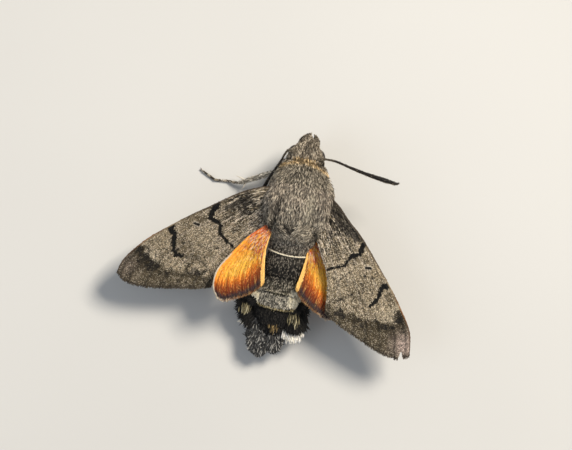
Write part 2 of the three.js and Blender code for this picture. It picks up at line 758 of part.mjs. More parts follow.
// Tongue: a flat spiral, each turn clear of the last
function tongueCurve() {
  const { outer, pitch, turns, centre, startAngle, pointsPerTurn } = TONGUE;
  const start = THREE.MathUtils.degToRad(startAngle);
  const points = evenPlaces(0, turns, Math.round(turns * pointsPerTurn)).map((turn) => {
    const radius = outer - pitch * turn;
    const angle = start + 2 * Math.PI * turn;
    return new THREE.Vector3(0, centre.y - radius * Math.cos(angle), centre.z + radius * Math.sin(angle));
  });
  return new THREE.CatmullRomCurve3(points);
}
const tongueSection = new THREE.Shape(
  evenPlaces(0, 2 * Math.PI, TONGUE_SIDES).slice(1).map((a) => {
    return new THREE.Vector2(TONGUE.radius * Math.cos(a), TONGUE.radius * Math.sin(a));
  }),
);
const tongue = new THREE.ExtrudeGeometry(tongueSection, {
  steps: TONGUE_STEPS,
  bevelEnabled: false,
  extrudePath: tongueCurve(),
});
addPiece('proboscis', solidOf(tongue).subtract(headClear), COLOURS.tongue, 0.4);

// Tegulae: pointed ovals laid over the shoulders on the thorax's own curve
function tegulaSolid(side, grow) {
  const { front, rear, topAngle, lowAngle, thickness, edgeShare, domeShare, frontBulk, bluntness } = TEGULA;
  const midAngle = THREE.MathUtils.degToRad((topAngle + lowAngle) / 2);
  const halfSpread = THREE.MathUtils.degToRad((lowAngle - topAngle) / 2);
  const rings = evenPlaces(0.04, 0.97, 9).map((k) => {
    const y = THREE.MathUtils.lerp(front - grow, rear + grow, k);
    const shape = Math.sin(Math.PI * k ** frontBulk) ** bluntness;
    const spread = halfSpread * shape + grow / SHOULDER_HALF_WIDTH;
    const thick = thickness * (edgeShare + (1 - edgeShare) * shape);
    const across = evenPlaces(-1, 1, 4);
    const outer = across.map((a) => {
      const dome = 1 - domeShare * a * a;
      return bodyPoint(THORAX, y, side * (midAngle + spread * a), GAP + thick * dome + grow);
    });
    const inner = across.map((a) => bodyPoint(THORAX, y, side * (midAngle + spread * a), GAP - grow));
    return [...outer, ...inner.reverse()];
  });
  return solidOf(closedLoft(rings));
}

// Wings, cut clear of the thorax that they grow from and of the tegulae over their roots
const WING_SHAPES = {
  forewing_left: FOREWING, forewing_right: FOREWING_RIGHT, hindwing_left: HINDWING, hindwing_right: HINDWING,
};
Object.entries(WING_POSES).forEach(([name, pose]) => {
  let wing = wingSolid(WING_SHAPES[name], pose).subtract(thoraxClear);
  if (name.startsWith('forewing')) wing = wing.subtract(tegulaSolid(pose.side, GAP));
  addPiece(name, wing, name.startsWith('forewing') ? COLOURS.wing : COLOURS.hindwing, 0.85);
});
const wingsClear = unionOf(
  Object.entries(WING_POSES).map(([name, pose]) => wingSolid(WING_SHAPES[name], pose, GAP)),
);

// Tegulae with the hair of their rear ends
function tegulaHair(side, grow) {
  const random = randomSource(21 + side);
  const middle = THREE.MathUtils.degToRad((TEGULA.topAngle + TEGULA.lowAngle) / 2);
  const locks = Array.from({ length: TEGULA_LOCK.count }, (_, i) => {
    const share = i / (TEGULA_LOCK.count - 1) - 0.5;
    const y = TEGULA.rear - TEGULA_LOCK.rootBack + TEGULA_LOCK.rootCurve * Math.abs(share);
    const angle = side * (middle + TEGULA_LOCK.spread * share);
    return lockSolid({
      root: bodyPoint(THORAX, y, angle, GAP + TEGULA_LOCK.thickness / 2),
      along: rearward(side * (TEGULA_LOCK.heading + TEGULA_LOCK.fan * share), TEGULA_LOCK.fall),
      out: bodyNormal(THORAX, y, angle),
      length: TEGULA_LOCK.length * varied(1, 0.3, random) + grow,
      width: TEGULA_LOCK.width + 2 * grow,
      thickness: TEGULA_LOCK.thickness + 2 * grow,
      lift: TEGULA_LOCK.lift,
      sink: 0,
    });
  });
  return unionOf(locks);
}
SIDES.forEach(([sideName, side]) => {
  const hair = tegulaHair(side, 0).subtract(thoraxClear).subtract(wingsClear);
  addPiece(`tegula_${sideName}`, tegulaSolid(side, 0).add(hair), COLOURS.fur, 0.95);
});

// Thorax with the mane that lies over the waist, cut clear of wings, tegulae and abdomen
const maneRandom = randomSource(3);
const mane = [];
MANE_ROWS.forEach(({ y, spread, count, length }) => {
  for (let i = 0; i < count; i += 1) {
    const share = (2 * i) / (count - 1) - 1;
    const angle = THREE.MathUtils.degToRad(varied(spread * share, MANE_LOCK.turnSpread, maneRandom));
    const here = bodyPoint(THORAX, y, angle);
    const along = bodyPoint(THORAX, y + 0.1, angle).sub(here);
    mane.push(lockSolid({
      root: here,
      along: along.addScaledVector(rearward(0), MANE_LOCK.level).normalize(),
      out: bodyNormal(THORAX, y, angle),
      length: length * varied(1, 0.24, maneRandom),
      width: MANE_LOCK.width,
      thickness: MANE_LOCK.thickness,
      lift: MANE_LOCK.lift,
      swerve: varied(0, MANE_LOCK.swerve, maneRandom),
    }));
  }
});
const abdomenClear = bodySolid(ABDOMEN, evenPlaces(ABDOMEN_START, WAIST, 4), BODY_SIDES, GAP + SEGMENT_LIP);
let maneSolid = unionOf(mane).subtract(wingsClear).subtract(abdomenClear);
SIDES.forEach(([, side]) => {
  maneSolid = maneSolid.subtract(tegulaSolid(side, GAP)).subtract(tegulaHair(side, GAP));
});
addPiece('thorax', bodySolid(THORAX, thoraxPlaces, THORAX_SIDES).add(maneSolid), COLOURS.fur, 0.95);

// Antennae
Object.entries(ANTENNAE).forEach(([name, points]) => {
  const curve = new THREE.CatmullRomCurve3(points.map((p) => new THREE.Vector3(...p)));
  const { base, club, tip } = ANTENNA_RADII;
  const radiusAt = (k) => {
    const { starts, fullest, tapersFrom } = ANTENNA_CLUB;
    const swelling = THREE.MathUtils.lerp(base, club, THREE.MathUtils.smoothstep(k, starts, fullest));
    return THREE.MathUtils.lerp(swelling, tip, THREE.MathUtils.smoothstep(k, tapersFrom, 1));
  };
  const feeler = taperedTube(curve, 0, 1, 18, TUBE_SIDES, radiusAt);
  addPiece(name, feeler.subtract(headClear), COLOURS.antenna, 0.7);
});

// Pair of spurs on a tibia: flat spikes that splay off it toward the foot
function spurPair(curve, t) {
  const tangent = curve.getTangent(t);
  const across = new THREE.Vector3().crossVectors(tangent, new THREE.Vector3(0, 0, 1)).normalize();
  return [1, -1].map((turn) => lockSolid({
    root: curve.getPoint(t),
    along: tangent.clone().addScaledVector(across, turn * SPUR.splay).normalize(),
    out: across.clone(),
    length: SPUR.length * (turn > 0 ? 1 : SPUR.shorter),
    width: SPUR.width,
    thickness: SPUR.width,
    lift: 0,
    sink: 0,
  }));
}

// Legs: one curve through hip, knee, ankle and toes, parted at the knee and the ankle
Object.entries(LEGS).forEach(([name, leg]) => {
  const points = [...leg.points, ...leg.foot.map(([x, y]) => [x, y, FOOT_HEIGHT])];
  const curve = new THREE.CatmullRomCurve3(
    points.map(([x, y, z]) => new THREE.Vector3(leg.side * x, y, z)),
    false,
    'catmullrom',
    0.25,
  );
  const knee = (1 + KNEE_SHIFT) / (points.length - 1);
  const ankle = 2 / (points.length - 1);
  const halfGapAt = (t) => {
    const speed = curve.getPoint(t + 0.005).distanceTo(curve.getPoint(t - 0.005)) / 0.01;
    return GAP / 2 / speed;
  };
  const [thick, middle, thin] = leg.radii;
  const femurEnd = knee - halfGapAt(knee);
  const femur = taperedTube(curve, 0, femurEnd, 5, TUBE_SIDES, (k) => thick - LEG_TAPER.femur * k);
  const tibiaStart = knee + halfGapAt(knee);
  const tibiaEnd = ankle - halfGapAt(ankle);
  const tibia = taperedTube(curve, tibiaStart, tibiaEnd, 6, TUBE_SIDES, (k) => middle - LEG_TAPER.tibia * k);
  const spurPlaces = leg.spurs.map((share) => THREE.MathUtils.lerp(tibiaStart, tibiaEnd, share));
  const spurs = spurPlaces.flatMap((place) => spurPair(curve, place));
  const toes = ankle + halfGapAt(ankle);
  const tarsus = taperedTube(curve, toes, 1, 8, TUBE_SIDES, (k) => thin - LEG_TAPER.tarsus * k);
  addPiece(`${name}_femur`, femur.subtract(thoraxClear), COLOURS.leg, 0.9);
  addPiece(`${name}_tibia`, unionOf([tibia, ...spurs]), COLOURS.leg, 0.9);
  addPiece(`${name}_tarsus`, tarsus, COLOURS.leg, 0.9);
});

const outline = new THREE.Box3().setFromObject(moth);
const middle = outline.getCenter(new THREE.Vector3());
moth.position.set(-middle.x, -middle.y, -outline.min.z);

export default moth;
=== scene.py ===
# %% [markdown]
# # A hummingbird hawk moth at rest
# The moth stands on its six feet with its wings half open: grey forewings crossed by two black
# zigzag lines, orange hindwings, a furry body and a black and white fan of scales at the tail.
# Almost all that the eye sees of a moth is scales. On the wings they lie in rows like roof
# tiles, on the body they are drawn out into hair, and at the tail they are long flat blades.
# So this lesson first makes bare skins, and then grows every kind of scale with one tuft maker.

# %% Load the frame
from functools import partial

import bpy
import numpy as np
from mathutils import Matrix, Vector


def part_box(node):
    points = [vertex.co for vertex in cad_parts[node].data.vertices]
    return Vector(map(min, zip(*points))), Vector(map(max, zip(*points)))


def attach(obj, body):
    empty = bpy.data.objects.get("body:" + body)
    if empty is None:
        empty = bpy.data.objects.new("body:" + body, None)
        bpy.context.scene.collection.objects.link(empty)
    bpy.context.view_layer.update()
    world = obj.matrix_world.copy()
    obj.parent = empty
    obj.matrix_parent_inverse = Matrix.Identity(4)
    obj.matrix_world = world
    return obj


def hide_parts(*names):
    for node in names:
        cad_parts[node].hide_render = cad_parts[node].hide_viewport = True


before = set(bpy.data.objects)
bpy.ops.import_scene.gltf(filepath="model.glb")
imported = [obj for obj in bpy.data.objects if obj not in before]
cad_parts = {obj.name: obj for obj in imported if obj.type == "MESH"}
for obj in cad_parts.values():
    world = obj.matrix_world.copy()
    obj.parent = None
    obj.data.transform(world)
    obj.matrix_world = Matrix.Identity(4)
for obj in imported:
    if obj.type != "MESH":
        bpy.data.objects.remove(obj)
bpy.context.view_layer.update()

print("solids in the frame:", len(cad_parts))

# %% [markdown]
# ## Millimetres of the moth
# A small animal is easiest to measure in millimetres from a landmark on its own body. Here it is
# the middle of the thorax at floor level, with x to the moth's left, y toward its tail and z up.
# The frame is in metres and its origin is elsewhere, so one helper moves every point over. The
# eyes are round and well placed, and the shift is worked out from them.

# %% From the moth's millimetres to the frame's metres
MM = 0.001
EYE = {"x": 1.3, "y": -6.35, "z": 5.25, "radius": 1.05, "rim": 0.05}  # rim: bare of hair
SIDES = {"left": 1, "right": -1}


def middle_of(node):
    low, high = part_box(node)
    return (np.array(low) + np.array(high)) / 2


between_eyes = (middle_of("eye_left") + middle_of("eye_right")) / 2
SHIFT = np.array([between_eyes[0], between_eyes[1] - EYE["y"] * MM, 0.0])


def to_frame(points):
    return np.asarray(points, float) * MM + SHIFT


print("the thorax stands over", np.round(SHIFT / MM, 2), "mm of the frame")

# %% [markdown]
# ## Arrays into meshes
# A mesh can be made point by point with bmesh, or in one go from whole arrays. The coats below
# have hundreds of thousands of corners, so the arrays go in with foreach_set. Values that belong
# to a place on the moth, such as how far down the body it lies, are stored as attributes, and
# the materials read them later.

# %% Mesh helpers
def unit(vectors):
    return vectors / np.maximum(np.linalg.norm(vectors, axis=-1, keepdims=True), 1e-12)


def new_piece(name, points, faces, material, values, corner_uv=None, replaced=()):
    """Mesh piece from points in the moth's millimetres and a list of arrays of 3 or 4 corners."""
    mesh = bpy.data.meshes.new(name)
    on_floor = np.maximum(points, [-np.inf, -np.inf, 0.0])  # what would sink into the floor rests on it
    flat = to_frame(on_floor).astype(np.float32).ravel()
    corners = np.concatenate([block.ravel() for block in faces]).astype(np.int32)
    sizes = np.concatenate([np.full(len(block), block.shape[1], np.int32) for block in faces])
    mesh.vertices.add(len(flat) // 3)
    mesh.vertices.foreach_set("co", flat)
    mesh.loops.add(len(corners))
    mesh.loops.foreach_set("vertex_index", corners)
    mesh.polygons.add(len(sizes))
    mesh.polygons.foreach_set("loop_start", np.cumsum(sizes) - sizes)
    mesh.polygons.foreach_set("use_smooth", np.ones(len(sizes), bool))
    for key, value in values.items():
        kind, field = ("FLOAT", "value") if value.ndim == 1 else ("FLOAT_VECTOR", "vector")
        data = mesh.attributes.new(key, kind, "POINT").data
        data.foreach_set(field, value.astype(np.float32).ravel())
    if corner_uv is not None:
        mesh.uv_layers.new(name="OFBake").data.foreach_set("uv", corner_uv.astype(np.float32).ravel())
    mesh.update(calc_edges=True)
    mesh.materials.append(material)
    piece = bpy.data.objects.new(name, mesh)
    bpy.context.scene.collection.objects.link(piece)
    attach(piece, "root")
    if replaced:
        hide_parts(*replaced)
    print(f"{name}: {len(flat) // 3} points, {int((sizes - 2).sum())} triangles")

# %% Closed skins, and frames to plant hair on
def closed_grid(surface, places, turns):
    """Closed skin of surface(place, turn): rings of turns all round, and a point at each end."""
    place, turn = np.meshgrid(places, turns, indexing="ij")
    rings = surface(place, turn)
    count, sides = place.shape
    points = np.concatenate([rings.reshape(-1, 3), rings[[0, -1]].mean(axis=1)])
    row = np.arange(count - 1)[:, None] * sides
    here = np.arange(sides)[None, :]
    after = (here + 1) % sides
    quads = np.stack([row + here, row + after, row + sides + after, row + sides + here], axis=-1)
    first, last = here[0], here[0] + (count - 1) * sides
    front = np.stack([np.full(sides, count * sides), np.roll(first, -1), first], axis=-1)
    back = np.stack([np.full(sides, count * sides + 1), last, np.roll(last, -1)], axis=-1)
    return points, [quads.reshape(-1, 4), np.concatenate([front, back])]


def surface_frame(surface, place, turn, step=2e-3):
    """Points of a surface with three directions: along it, round it and out of it."""
    along = unit(surface(place + step, turn) - surface(place - step, turn))
    around = unit(surface(place, turn + step) - surface(place, turn - step))
    return surface(place, turn), along, around, unit(np.cross(around, along))


def smooth_column(table, column, at):
    """Column of a table at new places: cubic Hermite curve, each slope from the rows beside it."""
    rows = np.asarray(table, float)
    place, value = rows[:, 0], rows[:, column]
    slope = np.gradient(value, place)
    slope[1:-1] = (value[2:] - value[:-2]) / (place[2:] - place[:-2])
    i = np.clip(np.searchsorted(place, at) - 1, 0, len(place) - 2)
    span = place[i + 1] - place[i]
    k = np.clip((at - place[i]) / span, 0, 1)
    blend = k * k * (3 - 2 * k)
    bend = k * (1 - k) * ((1 - k) * slope[i] - k * slope[i + 1]) * span
    return value[i] * (1 - blend) + value[i + 1] * blend + bend


def smoothstep(low, high, value):
    k = np.clip((value - low) / (high - low), 0, 1)
    return k * k * (3 - 2 * k)

# %% Curves and tubes
STEPS = 60  # straight steps that one stretch of a curve is drawn in


def dense_curve(points, tension=0.5):
    """Catmull-Rom, STEPS to a stretch: b + k m1 + k^2 (3c - 3b - 2 m1 - m2) + k^3 (2b - 2c + m1 + m2).

    The slopes m are the tension times the chord of the neighbours. Returns it with its lengths.
    """
    points = np.asarray(points, float)
    padded = np.concatenate([points[:1], points, points[-1:]])
    t = np.linspace(0, len(points) - 1, STEPS * (len(points) - 1) + 1)
    i = np.minimum(t.astype(int), len(points) - 2)
    k = (t - i)[:, None]
    b, c = padded[i + 1], padded[i + 2]
    m1, m2 = tension * (c - padded[i]), tension * (padded[i + 3] - b)
    curve = b + k * (m1 + k * (3 * (c - b) - 2 * m1 - m2 + k * (2 * (b - c) + m1 + m2)))
    return curve, np.append(0, np.cumsum(np.linalg.norm(np.diff(curve, axis=0), axis=1)))


def spline(points, share, tension=0.5):
    """The curve's places at shares of its length."""
    curve, length = dense_curve(points, tension)
    return np.stack([np.interp(share * length[-1], length, axis) for axis in curve.T], axis=-1)


def tube(points, radius_at, upright, tension=0.5):
    """Surface(u, v) = C(u) + r(u) (A sin v + B cos v), with A x T = B and B toward upright."""
    def surface(u, v):
        ahead = unit(spline(points, u + 2e-3, tension) - spline(points, u - 2e-3, tension))
        b = unit(upright - (ahead @ upright)[..., None] * ahead)
        ring = np.cross(ahead, b) * np.sin(v)[..., None] + b * np.cos(v)[..., None]
        return spline(points, u, tension) + radius_at(u)[..., None] * ring
    return surface


def line_distance(points, line):
    """Distance from each point to the nearest of a line's straight stretches, all pairs at once."""
    start, step = line[:-1], np.diff(line, axis=0)
    k = ((points[:, None] - start) * step).sum(-1) / (step ** 2).sum(-1)
    nearest = start + np.clip(k, 0, 1)[..., None] * step
    return np.linalg.norm(points[:, None] - nearest, axis=-1).min(axis=1)

# %% [markdown]
# ## Colours and nodes
# Paint colours are written as the hex values a picture editor shows. Blender's shaders reckon in
# linear light, so one function converts them. Materials are node trees, and one more function
# adds a node with its settings and links, so that a tree reads from top to bottom. A noise of
# scale 2.5 / MM has 2.5 humps a millimetre, so a grain of 0.4 mm.

# %% Colour and node helpers
def colour(hex_code):
    """sRGB hex to linear: divide by 12.92 below the toe, else ((c + 0.055) / 1.055) to the 2.4."""
    value = np.array([int(hex_code[i:i + 2], 16) for i in (1, 3, 5)]) / 255
    linear = np.where(value <= 0.04045, value / 12.92, ((value + 0.055) / 1.055) ** 2.4)
    return (*linear.tolist(), 1.0)


def add_node(tree, kind, *inputs, stops=(), output=0, **named):
    """New node; returns its output socket. A second word in kind is the node's operation.

    Inputs are links, numbers or hex colours for the sockets in order. A capitalised name is a
    socket too, with _ for each space, and any other name is a setting.
    """
    kind, _, operation = kind.partition(" ")
    node = tree.nodes.new("ShaderNode" + kind)
    if operation:
        node.operation = operation
    sockets = list(enumerate(inputs))
    if kind == "Mix":  # mixes colours here, whose sockets come after those for numbers and vectors
        node.data_type, output = "RGBA", 2
        sockets = list(zip((0, 6, 7), inputs))
    for key, value in named.items():
        if key[0].isupper():
            sockets.append((key.replace("_", " "), value))
        else:
            setattr(node, key, value)
    for key, value in sockets:
        if isinstance(value, bpy.types.NodeSocket):
            tree.links.new(value, node.inputs[key])
        elif value is not None:
            node.inputs[key].default_value = colour(value) if isinstance(value, str) else value
    for number, (place, shade) in enumerate(stops):
        ramp = node.color_ramp.elements
        element = ramp[number] if number < 2 else ramp.new(place)
        element.position = place
        element.color = colour(shade) if isinstance(shade, str) else (shade, shade, shade, 1.0)
    return node.outputs[output] if node.outputs else None


def new_material(name):
    """Empty material, and add_node for its tree."""
    material = bpy.data.materials.new(name)
    material.use_nodes = True
    material.node_tree.nodes.clear()
    return material, partial(add_node, material.node_tree)


print("middle grey in linear light:", round(colour("#808080")[0], 3))

# %% [markdown]
# ## The body's form
# Under its hair the body is one smooth skin. It can be sculpted, or lofted from cross sections.
# A loft suits an insect, because each length of it is nearly an ellipse: the table below gives
# its half width, its top and its underside from the tip of the face to the last ring, as they
# are with the hair on. The skin lies inside them by the depth of the hair.

# %% Cross sections of the body
# y, half width, top, underside, roundness (1 is an ellipse, less is squarer), depth of the hair
BODY = [
    [-8.80, 0.22, 5.75, 5.20, 0.85, 0.12], [-8.35, 0.68, 6.25, 4.80, 0.85, 0.18],
    [-7.70, 1.32, 6.85, 4.40, 0.85, 0.24], [-6.90, 1.98, 7.30, 4.10, 0.84, 0.28],
    [-6.20, 2.34, 7.55, 3.90, 0.84, 0.32], [-5.60, 2.62, 7.60, 3.95, 0.87, 0.34],
    [-5.10, 2.90, 7.85, 3.70, 0.90, 0.40], [-4.40, 3.24, 8.25, 3.35, 0.92, 0.46],
    [-3.50, 3.50, 8.65, 2.90, 0.93, 0.50], [-2.10, 3.78, 9.20, 2.30, 0.93, 0.52],
    [-0.50, 3.95, 9.50, 2.00, 0.93, 0.52], [1.20, 3.90, 9.45, 2.10, 0.93, 0.52],
    [2.80, 3.60, 9.00, 2.50, 0.93, 0.48], [4.00, 3.15, 8.25, 2.95, 0.94, 0.40],
    [4.70, 2.85, 7.35, 3.05, 0.96, 0.28], [5.60, 2.65, 6.70, 2.95, 0.98, 0.18],
    [6.40, 2.60, 6.35, 2.70, 1.00, 0.14], [7.20, 2.68, 6.15, 2.30, 1.00, 0.14],
    [9.00, 2.95, 5.90, 1.60, 1.00, 0.14], [11.00, 3.10, 5.55, 1.30, 1.00, 0.16],
    [12.80, 2.95, 5.05, 1.20, 1.00, 0.18], [14.20, 2.50, 4.45, 1.30, 1.00, 0.22],
    [15.20, 2.00, 3.90, 1.50, 1.00, 0.26], [16.40, 1.65, 3.35, 1.65, 1.00, 0.26],
    [17.40, 1.10, 2.85, 1.90, 1.00, 0.24],
]
BODY_FRONT, BODY_REAR = BODY[0][0], BODY[-1][0]
RINGS = np.array([6.4, 8.98, 11.08, 13.2, 15.3])  # rear edges of the abdomen's visible rings
RING_LIP = 0.16  # each ring overhangs the next by this much
FLAP = {"front": -4.1, "rear": 3.7, "top": 36, "low": 98, "height": 0.6}  # tegula, in degrees

# %% Surface of the body
def wrap(turn):
    """Turn between -pi and pi, 0 on the back."""
    return (turn + np.pi) % (2 * np.pi) - np.pi


def ring_swell(y):
    """Saw-tooth: grows from 0 to the lip along each ring of the abdomen, then drops back."""
    start, end = RINGS[:-1], RINGS[1:]
    inside = (y[..., None] >= start) & (y[..., None] < end)
    return RING_LIP * (inside * (y[..., None] - start) / (end - start)).sum(axis=-1)


def flap_height(y, turn):
    """Tegula, the flap over a wing's root: a pointed oval dome low on each shoulder."""
    k = np.clip((y - FLAP["front"]) / (FLAP["rear"] - FLAP["front"]), 0, 1)
    length_shape = np.sin(np.pi * k ** 0.8) ** 0.6
    centre, spread = np.radians((FLAP["top"] + FLAP["low"]) / 2), np.radians(FLAP["low"] - FLAP["top"]) / 2
    off = (np.abs(wrap(turn)) - centre) / (spread * np.maximum(length_shape, 0.05))
    left = 0.4 * smoothstep(-2.0, 0.0, y) * (np.sin(turn) > 0)  # its wing pushes the left flap up
    return FLAP["height"] * (1 + left) * length_shape * smoothstep(1.15, 0.55, np.abs(off))


def body_lean(y):
    """The thorax sits a little to the moth's right of the line from head to tail."""
    return -0.3 * smoothstep(-6.0, -1.5, y) * (1 - 0.5 * smoothstep(7.0, 12.0, y))


def body_surface(y, turn, depth=0.0):
    """Superellipse rings: x = w sgn(sin) |sin|^r, z = middle + h sgn(cos) |cos|^r, plus swellings."""
    # The rings' lips fade where the flank tufts stand
    flank = 1 - 0.85 * np.exp(-(((np.abs(wrap(turn)) - 1.45) / 0.5) ** 2))
    grow = ring_swell(y) * flank + flap_height(y, turn) - depth * smooth_column(BODY, 5, y)
    half_width, top = smooth_column(BODY, 1, y) + grow, smooth_column(BODY, 2, y) + grow
    under = smooth_column(BODY, 3, y) - grow
    roundness = smooth_column(BODY, 4, y)
    sine, cosine = np.sin(turn), np.cos(turn)
    x = body_lean(y) + half_width * np.sign(sine) * np.abs(sine) ** roundness
    z = (top + under) / 2 + (top - under) / 2 * np.sign(cosine) * np.abs(cosine) ** roundness
    return np.stack([x, y + 0 * x, z], axis=-1)


print("body from", BODY_FRONT, "to", BODY_REAR, "mm")

# %% [markdown]
# ## One tuft, many coats
# Hair on a model can be particle hair, curves or mesh. Here each tuft is a small closed solid: a
# blade whose three-cornered sections grow and taper along a bending line. Mesh tufts keep their
# shape wherever the model goes, and sixteen triangles are enough for one. The same maker draws
# hair, roof tiles, the long lances of the tail and the spatulas of the wing fringes.

# %% Tuft maker
HAIR = [(0.0, 0.7), (0.38, 1.0), (0.74, 0.68)]  # place along the tuft, share of its width
TILE = [(0.0, 0.5), (0.5, 1.0), (0.86, 0.8)]
LANCE = [(0.0, 0.35), (0.5, 1.0), (0.86, 0.6)]
SPATULA = [(0.0, 0.3), (0.55, 0.8), (0.9, 1.0)]
TUFT_POINTS = 10
PATCH = 0.003  # size of one tuft's patch on the unwrapped skin
# What a style leaves out: spreads are shares of a value, lay_spread is in radians
PLAIN_STYLE = {
    "curl": 0.3, "lay_spread": 0.15, "length_spread": 0.25, "swerve": 0.12, "taper": HAIR, "thick": 0.5,
    "sink": 0.08,
}
rng = np.random.default_rng(7)


def tuft_mesh(root, along, out, length, width, lift, curl, swerve, style):
    """Centre line: root + along L k + out (L (lift k - curl k^2) - sink (1-k)^2) + across L swerve k^2.

    Three rings of three corners stand on it, a flat base and a ridge, and it ends in a point.
    """
    across = unit(np.cross(along, out))
    k = np.array([place for place, _ in style["taper"]] + [1.0])[None, :, None]
    share = np.array([part for _, part in style["taper"]])[None, :, None, None]
    long = length[:, None, None]
    rise = long * (lift[:, None, None] * k - curl[:, None, None] * k ** 2) - style["sink"] * (1 - k) ** 2
    line = root[:, None] + along[:, None] * long * k + out[:, None] * rise
    line = line + across[:, None] * long * swerve[:, None, None] * k ** 2
    wide = across[:, None, None] * np.array([-0.5, 0.0, 0.5])[None, None, :, None]
    high = out[:, None, None] * (style["thick"] * np.array([0.0, 1.0, 0.0]))[None, None, :, None]
    rings = line[:, :3, None] + (wide + high) * width[:, None, None, None] * share
    points = np.concatenate([rings.reshape(len(root), 9, 3), line[:, 3:]], axis=1)
    side = np.array([[0, 1, 4, 3], [1, 2, 5, 4], [2, 0, 3, 5]])
    quads = np.concatenate([side, side + 3])
    triangles = np.array([[0, 2, 1], [6, 7, 9], [7, 8, 9], [8, 6, 9]])
    start = TUFT_POINTS * np.arange(len(root))[:, None, None]
    return points.reshape(-1, 3), [(quads + start).reshape(-1, 4), (triangles + start).reshape(-1, 3)]


def tuft_uv(uv_place, faces, along):
    """Patch of one tuft: its root's place on the skin, then along the tuft and across it."""
    across = np.append(np.tile([0.0, 0.5, 1.0], 3), 0.5)
    patch = PATCH * (np.stack([along, across], axis=-1) - 0.5)
    everywhere = (0.01 + 0.98 * uv_place[:, None] + patch[None]).reshape(-1, 2)
    return everywhere[np.concatenate([block.ravel() for block in faces])]

# %% Coats of tufts
def scatter_rows(start, end, row_step, spacing, width_at):
    """Roots in rows, as scales grow: each row holds width_at(row) / spacing of them, jittered."""
    rows = np.arange(start + row_step / 2, end, row_step)
    counts = np.maximum(width_at(rows) / spacing, 3).astype(int)
    row = np.repeat(rows, counts)
    number = np.arange(row.size) - np.repeat(np.cumsum(counts) - counts, counts)
    share = (number + 0.5 + 0.9 * (rng.random(row.size) - 0.5)) / np.repeat(counts, counts)
    return row + row_step * 0.9 * (rng.random(row.size) - 0.5), share


def grow_coat(name, frame_at, lay, style, material, values, uv_place, replaced=()):
    """Coat of tufts at given roots. lay turns each one from straight along, in radians."""
    root, along, around, out = frame_at
    count = len(root)
    style = dict(PLAIN_STYLE, **style)

    def varied(key, spread):
        return style[key] * (1 + spread * (2 * rng.random(count) - 1))

    heading = lay + style["lay_spread"] * rng.standard_normal(count)
    direction = along * np.cos(heading)[:, None] + around * np.sin(heading)[:, None]
    length, width = varied("length", style["length_spread"]), varied("width", 0.25)
    lift, curl = varied("lift", 0.5), varied("curl", 0.3)
    swerve = style["swerve"] * rng.standard_normal(count)
    points, faces = tuft_mesh(root, direction, out, length, width, lift, curl, swerve, style)
    reach = np.append(np.repeat([place for place, _ in style["taper"]], 3), 1.0)
    everywhere = {key: np.repeat(value, TUFT_POINTS, axis=0) for key, value in values.items()}
    everywhere["strand"] = np.repeat(rng.random(count), TUFT_POINTS)
    everywhere["reach"] = np.tile(reach, count)
    new_piece(name, points, faces, material, everywhere, tuft_uv(uv_place, faces, reach), replaced)


print("a tuft has", TUFT_POINTS, "points and 16 triangles")

# %% [markdown]
# ## The colours of the body
# The back is olive grey, salted with pale hairs. A buff line marks the neck, and the rings of the
# abdomen go from charcoal through grey to black, each with a pale rear edge. The underside is
# whitish. A ramp over the distance down the body gives all this, with a little noise to fray the
# edges. The skin and the hair share this one material, so bare gaps never show a wrong colour.

# %% Material of the body: hair-like scales of chitin, matt, with a soft sheen where they graze
CHITIN = 1.55  # a typical index of refraction of insect skin
RAMP_FRONT, RAMP_REAR = -9.5, 19.0  # ends of the ramp, a little past the body's


def body_place(y):
    """Distance down the body as a share, for the ramp."""
    return (y - RAMP_FRONT) / (RAMP_REAR - RAMP_FRONT)


def finish_scales(node, paint, roughness, bump=None):
    """Matt scales of chitin: weak gloss, and slight sheen where hairs graze."""
    shader = node(
        "BsdfPrincipled", Base_Color=paint, Roughness=roughness, IOR=CHITIN, Specular_IOR_Level=0.18,
        Sheen_Weight=0.05, Sheen_Roughness=0.5, Normal=bump,
    )
    node("OutputMaterial", Surface=shader)


def read_values(node, *names):
    return [node("Attribute", attribute_name=name, output="Fac") for name in names]


def mottled(node, paint, place, scale, detail, dark, light, spread=0.2):
    """Paint times a tone from dark to light, by noise, which keeps mostly within spread of a half."""
    cloud = node("TexNoise", Vector=place, Scale=scale, Detail=detail)
    tone = node("MapRange", cloud, 0.5 - spread, 0.5 + spread, dark, light)
    return node("VectorMath SCALE", paint, Scale=tone)


def strand_shade(node, paint, dark, light, flecks, fleck_colour, root=0.5, salt=1.0):
    """Hair by hair: tones from dark to light, a share of pale flecks, and painted shade that darkens each hair
    toward its root, deep in the coat.
    """
    strand, reach = read_values(node, "strand", "reach")
    tone = node("MapRange", strand, 0, 1, dark, light)
    # Painted shade of the coat: each hair is darker toward its root
    depth = node("MapRange", reach, 0, 1, root, 1.12)
    paint = node("VectorMath SCALE", paint, Scale=node("Math MULTIPLY", tone, depth))
    chosen = node("MapRange", strand, 1 - flecks, 1 - flecks + 0.04)
    amount = node("Math MULTIPLY", node("Math MULTIPLY", chosen, reach), salt)
    return node("Mix", amount, paint, fleck_colour)
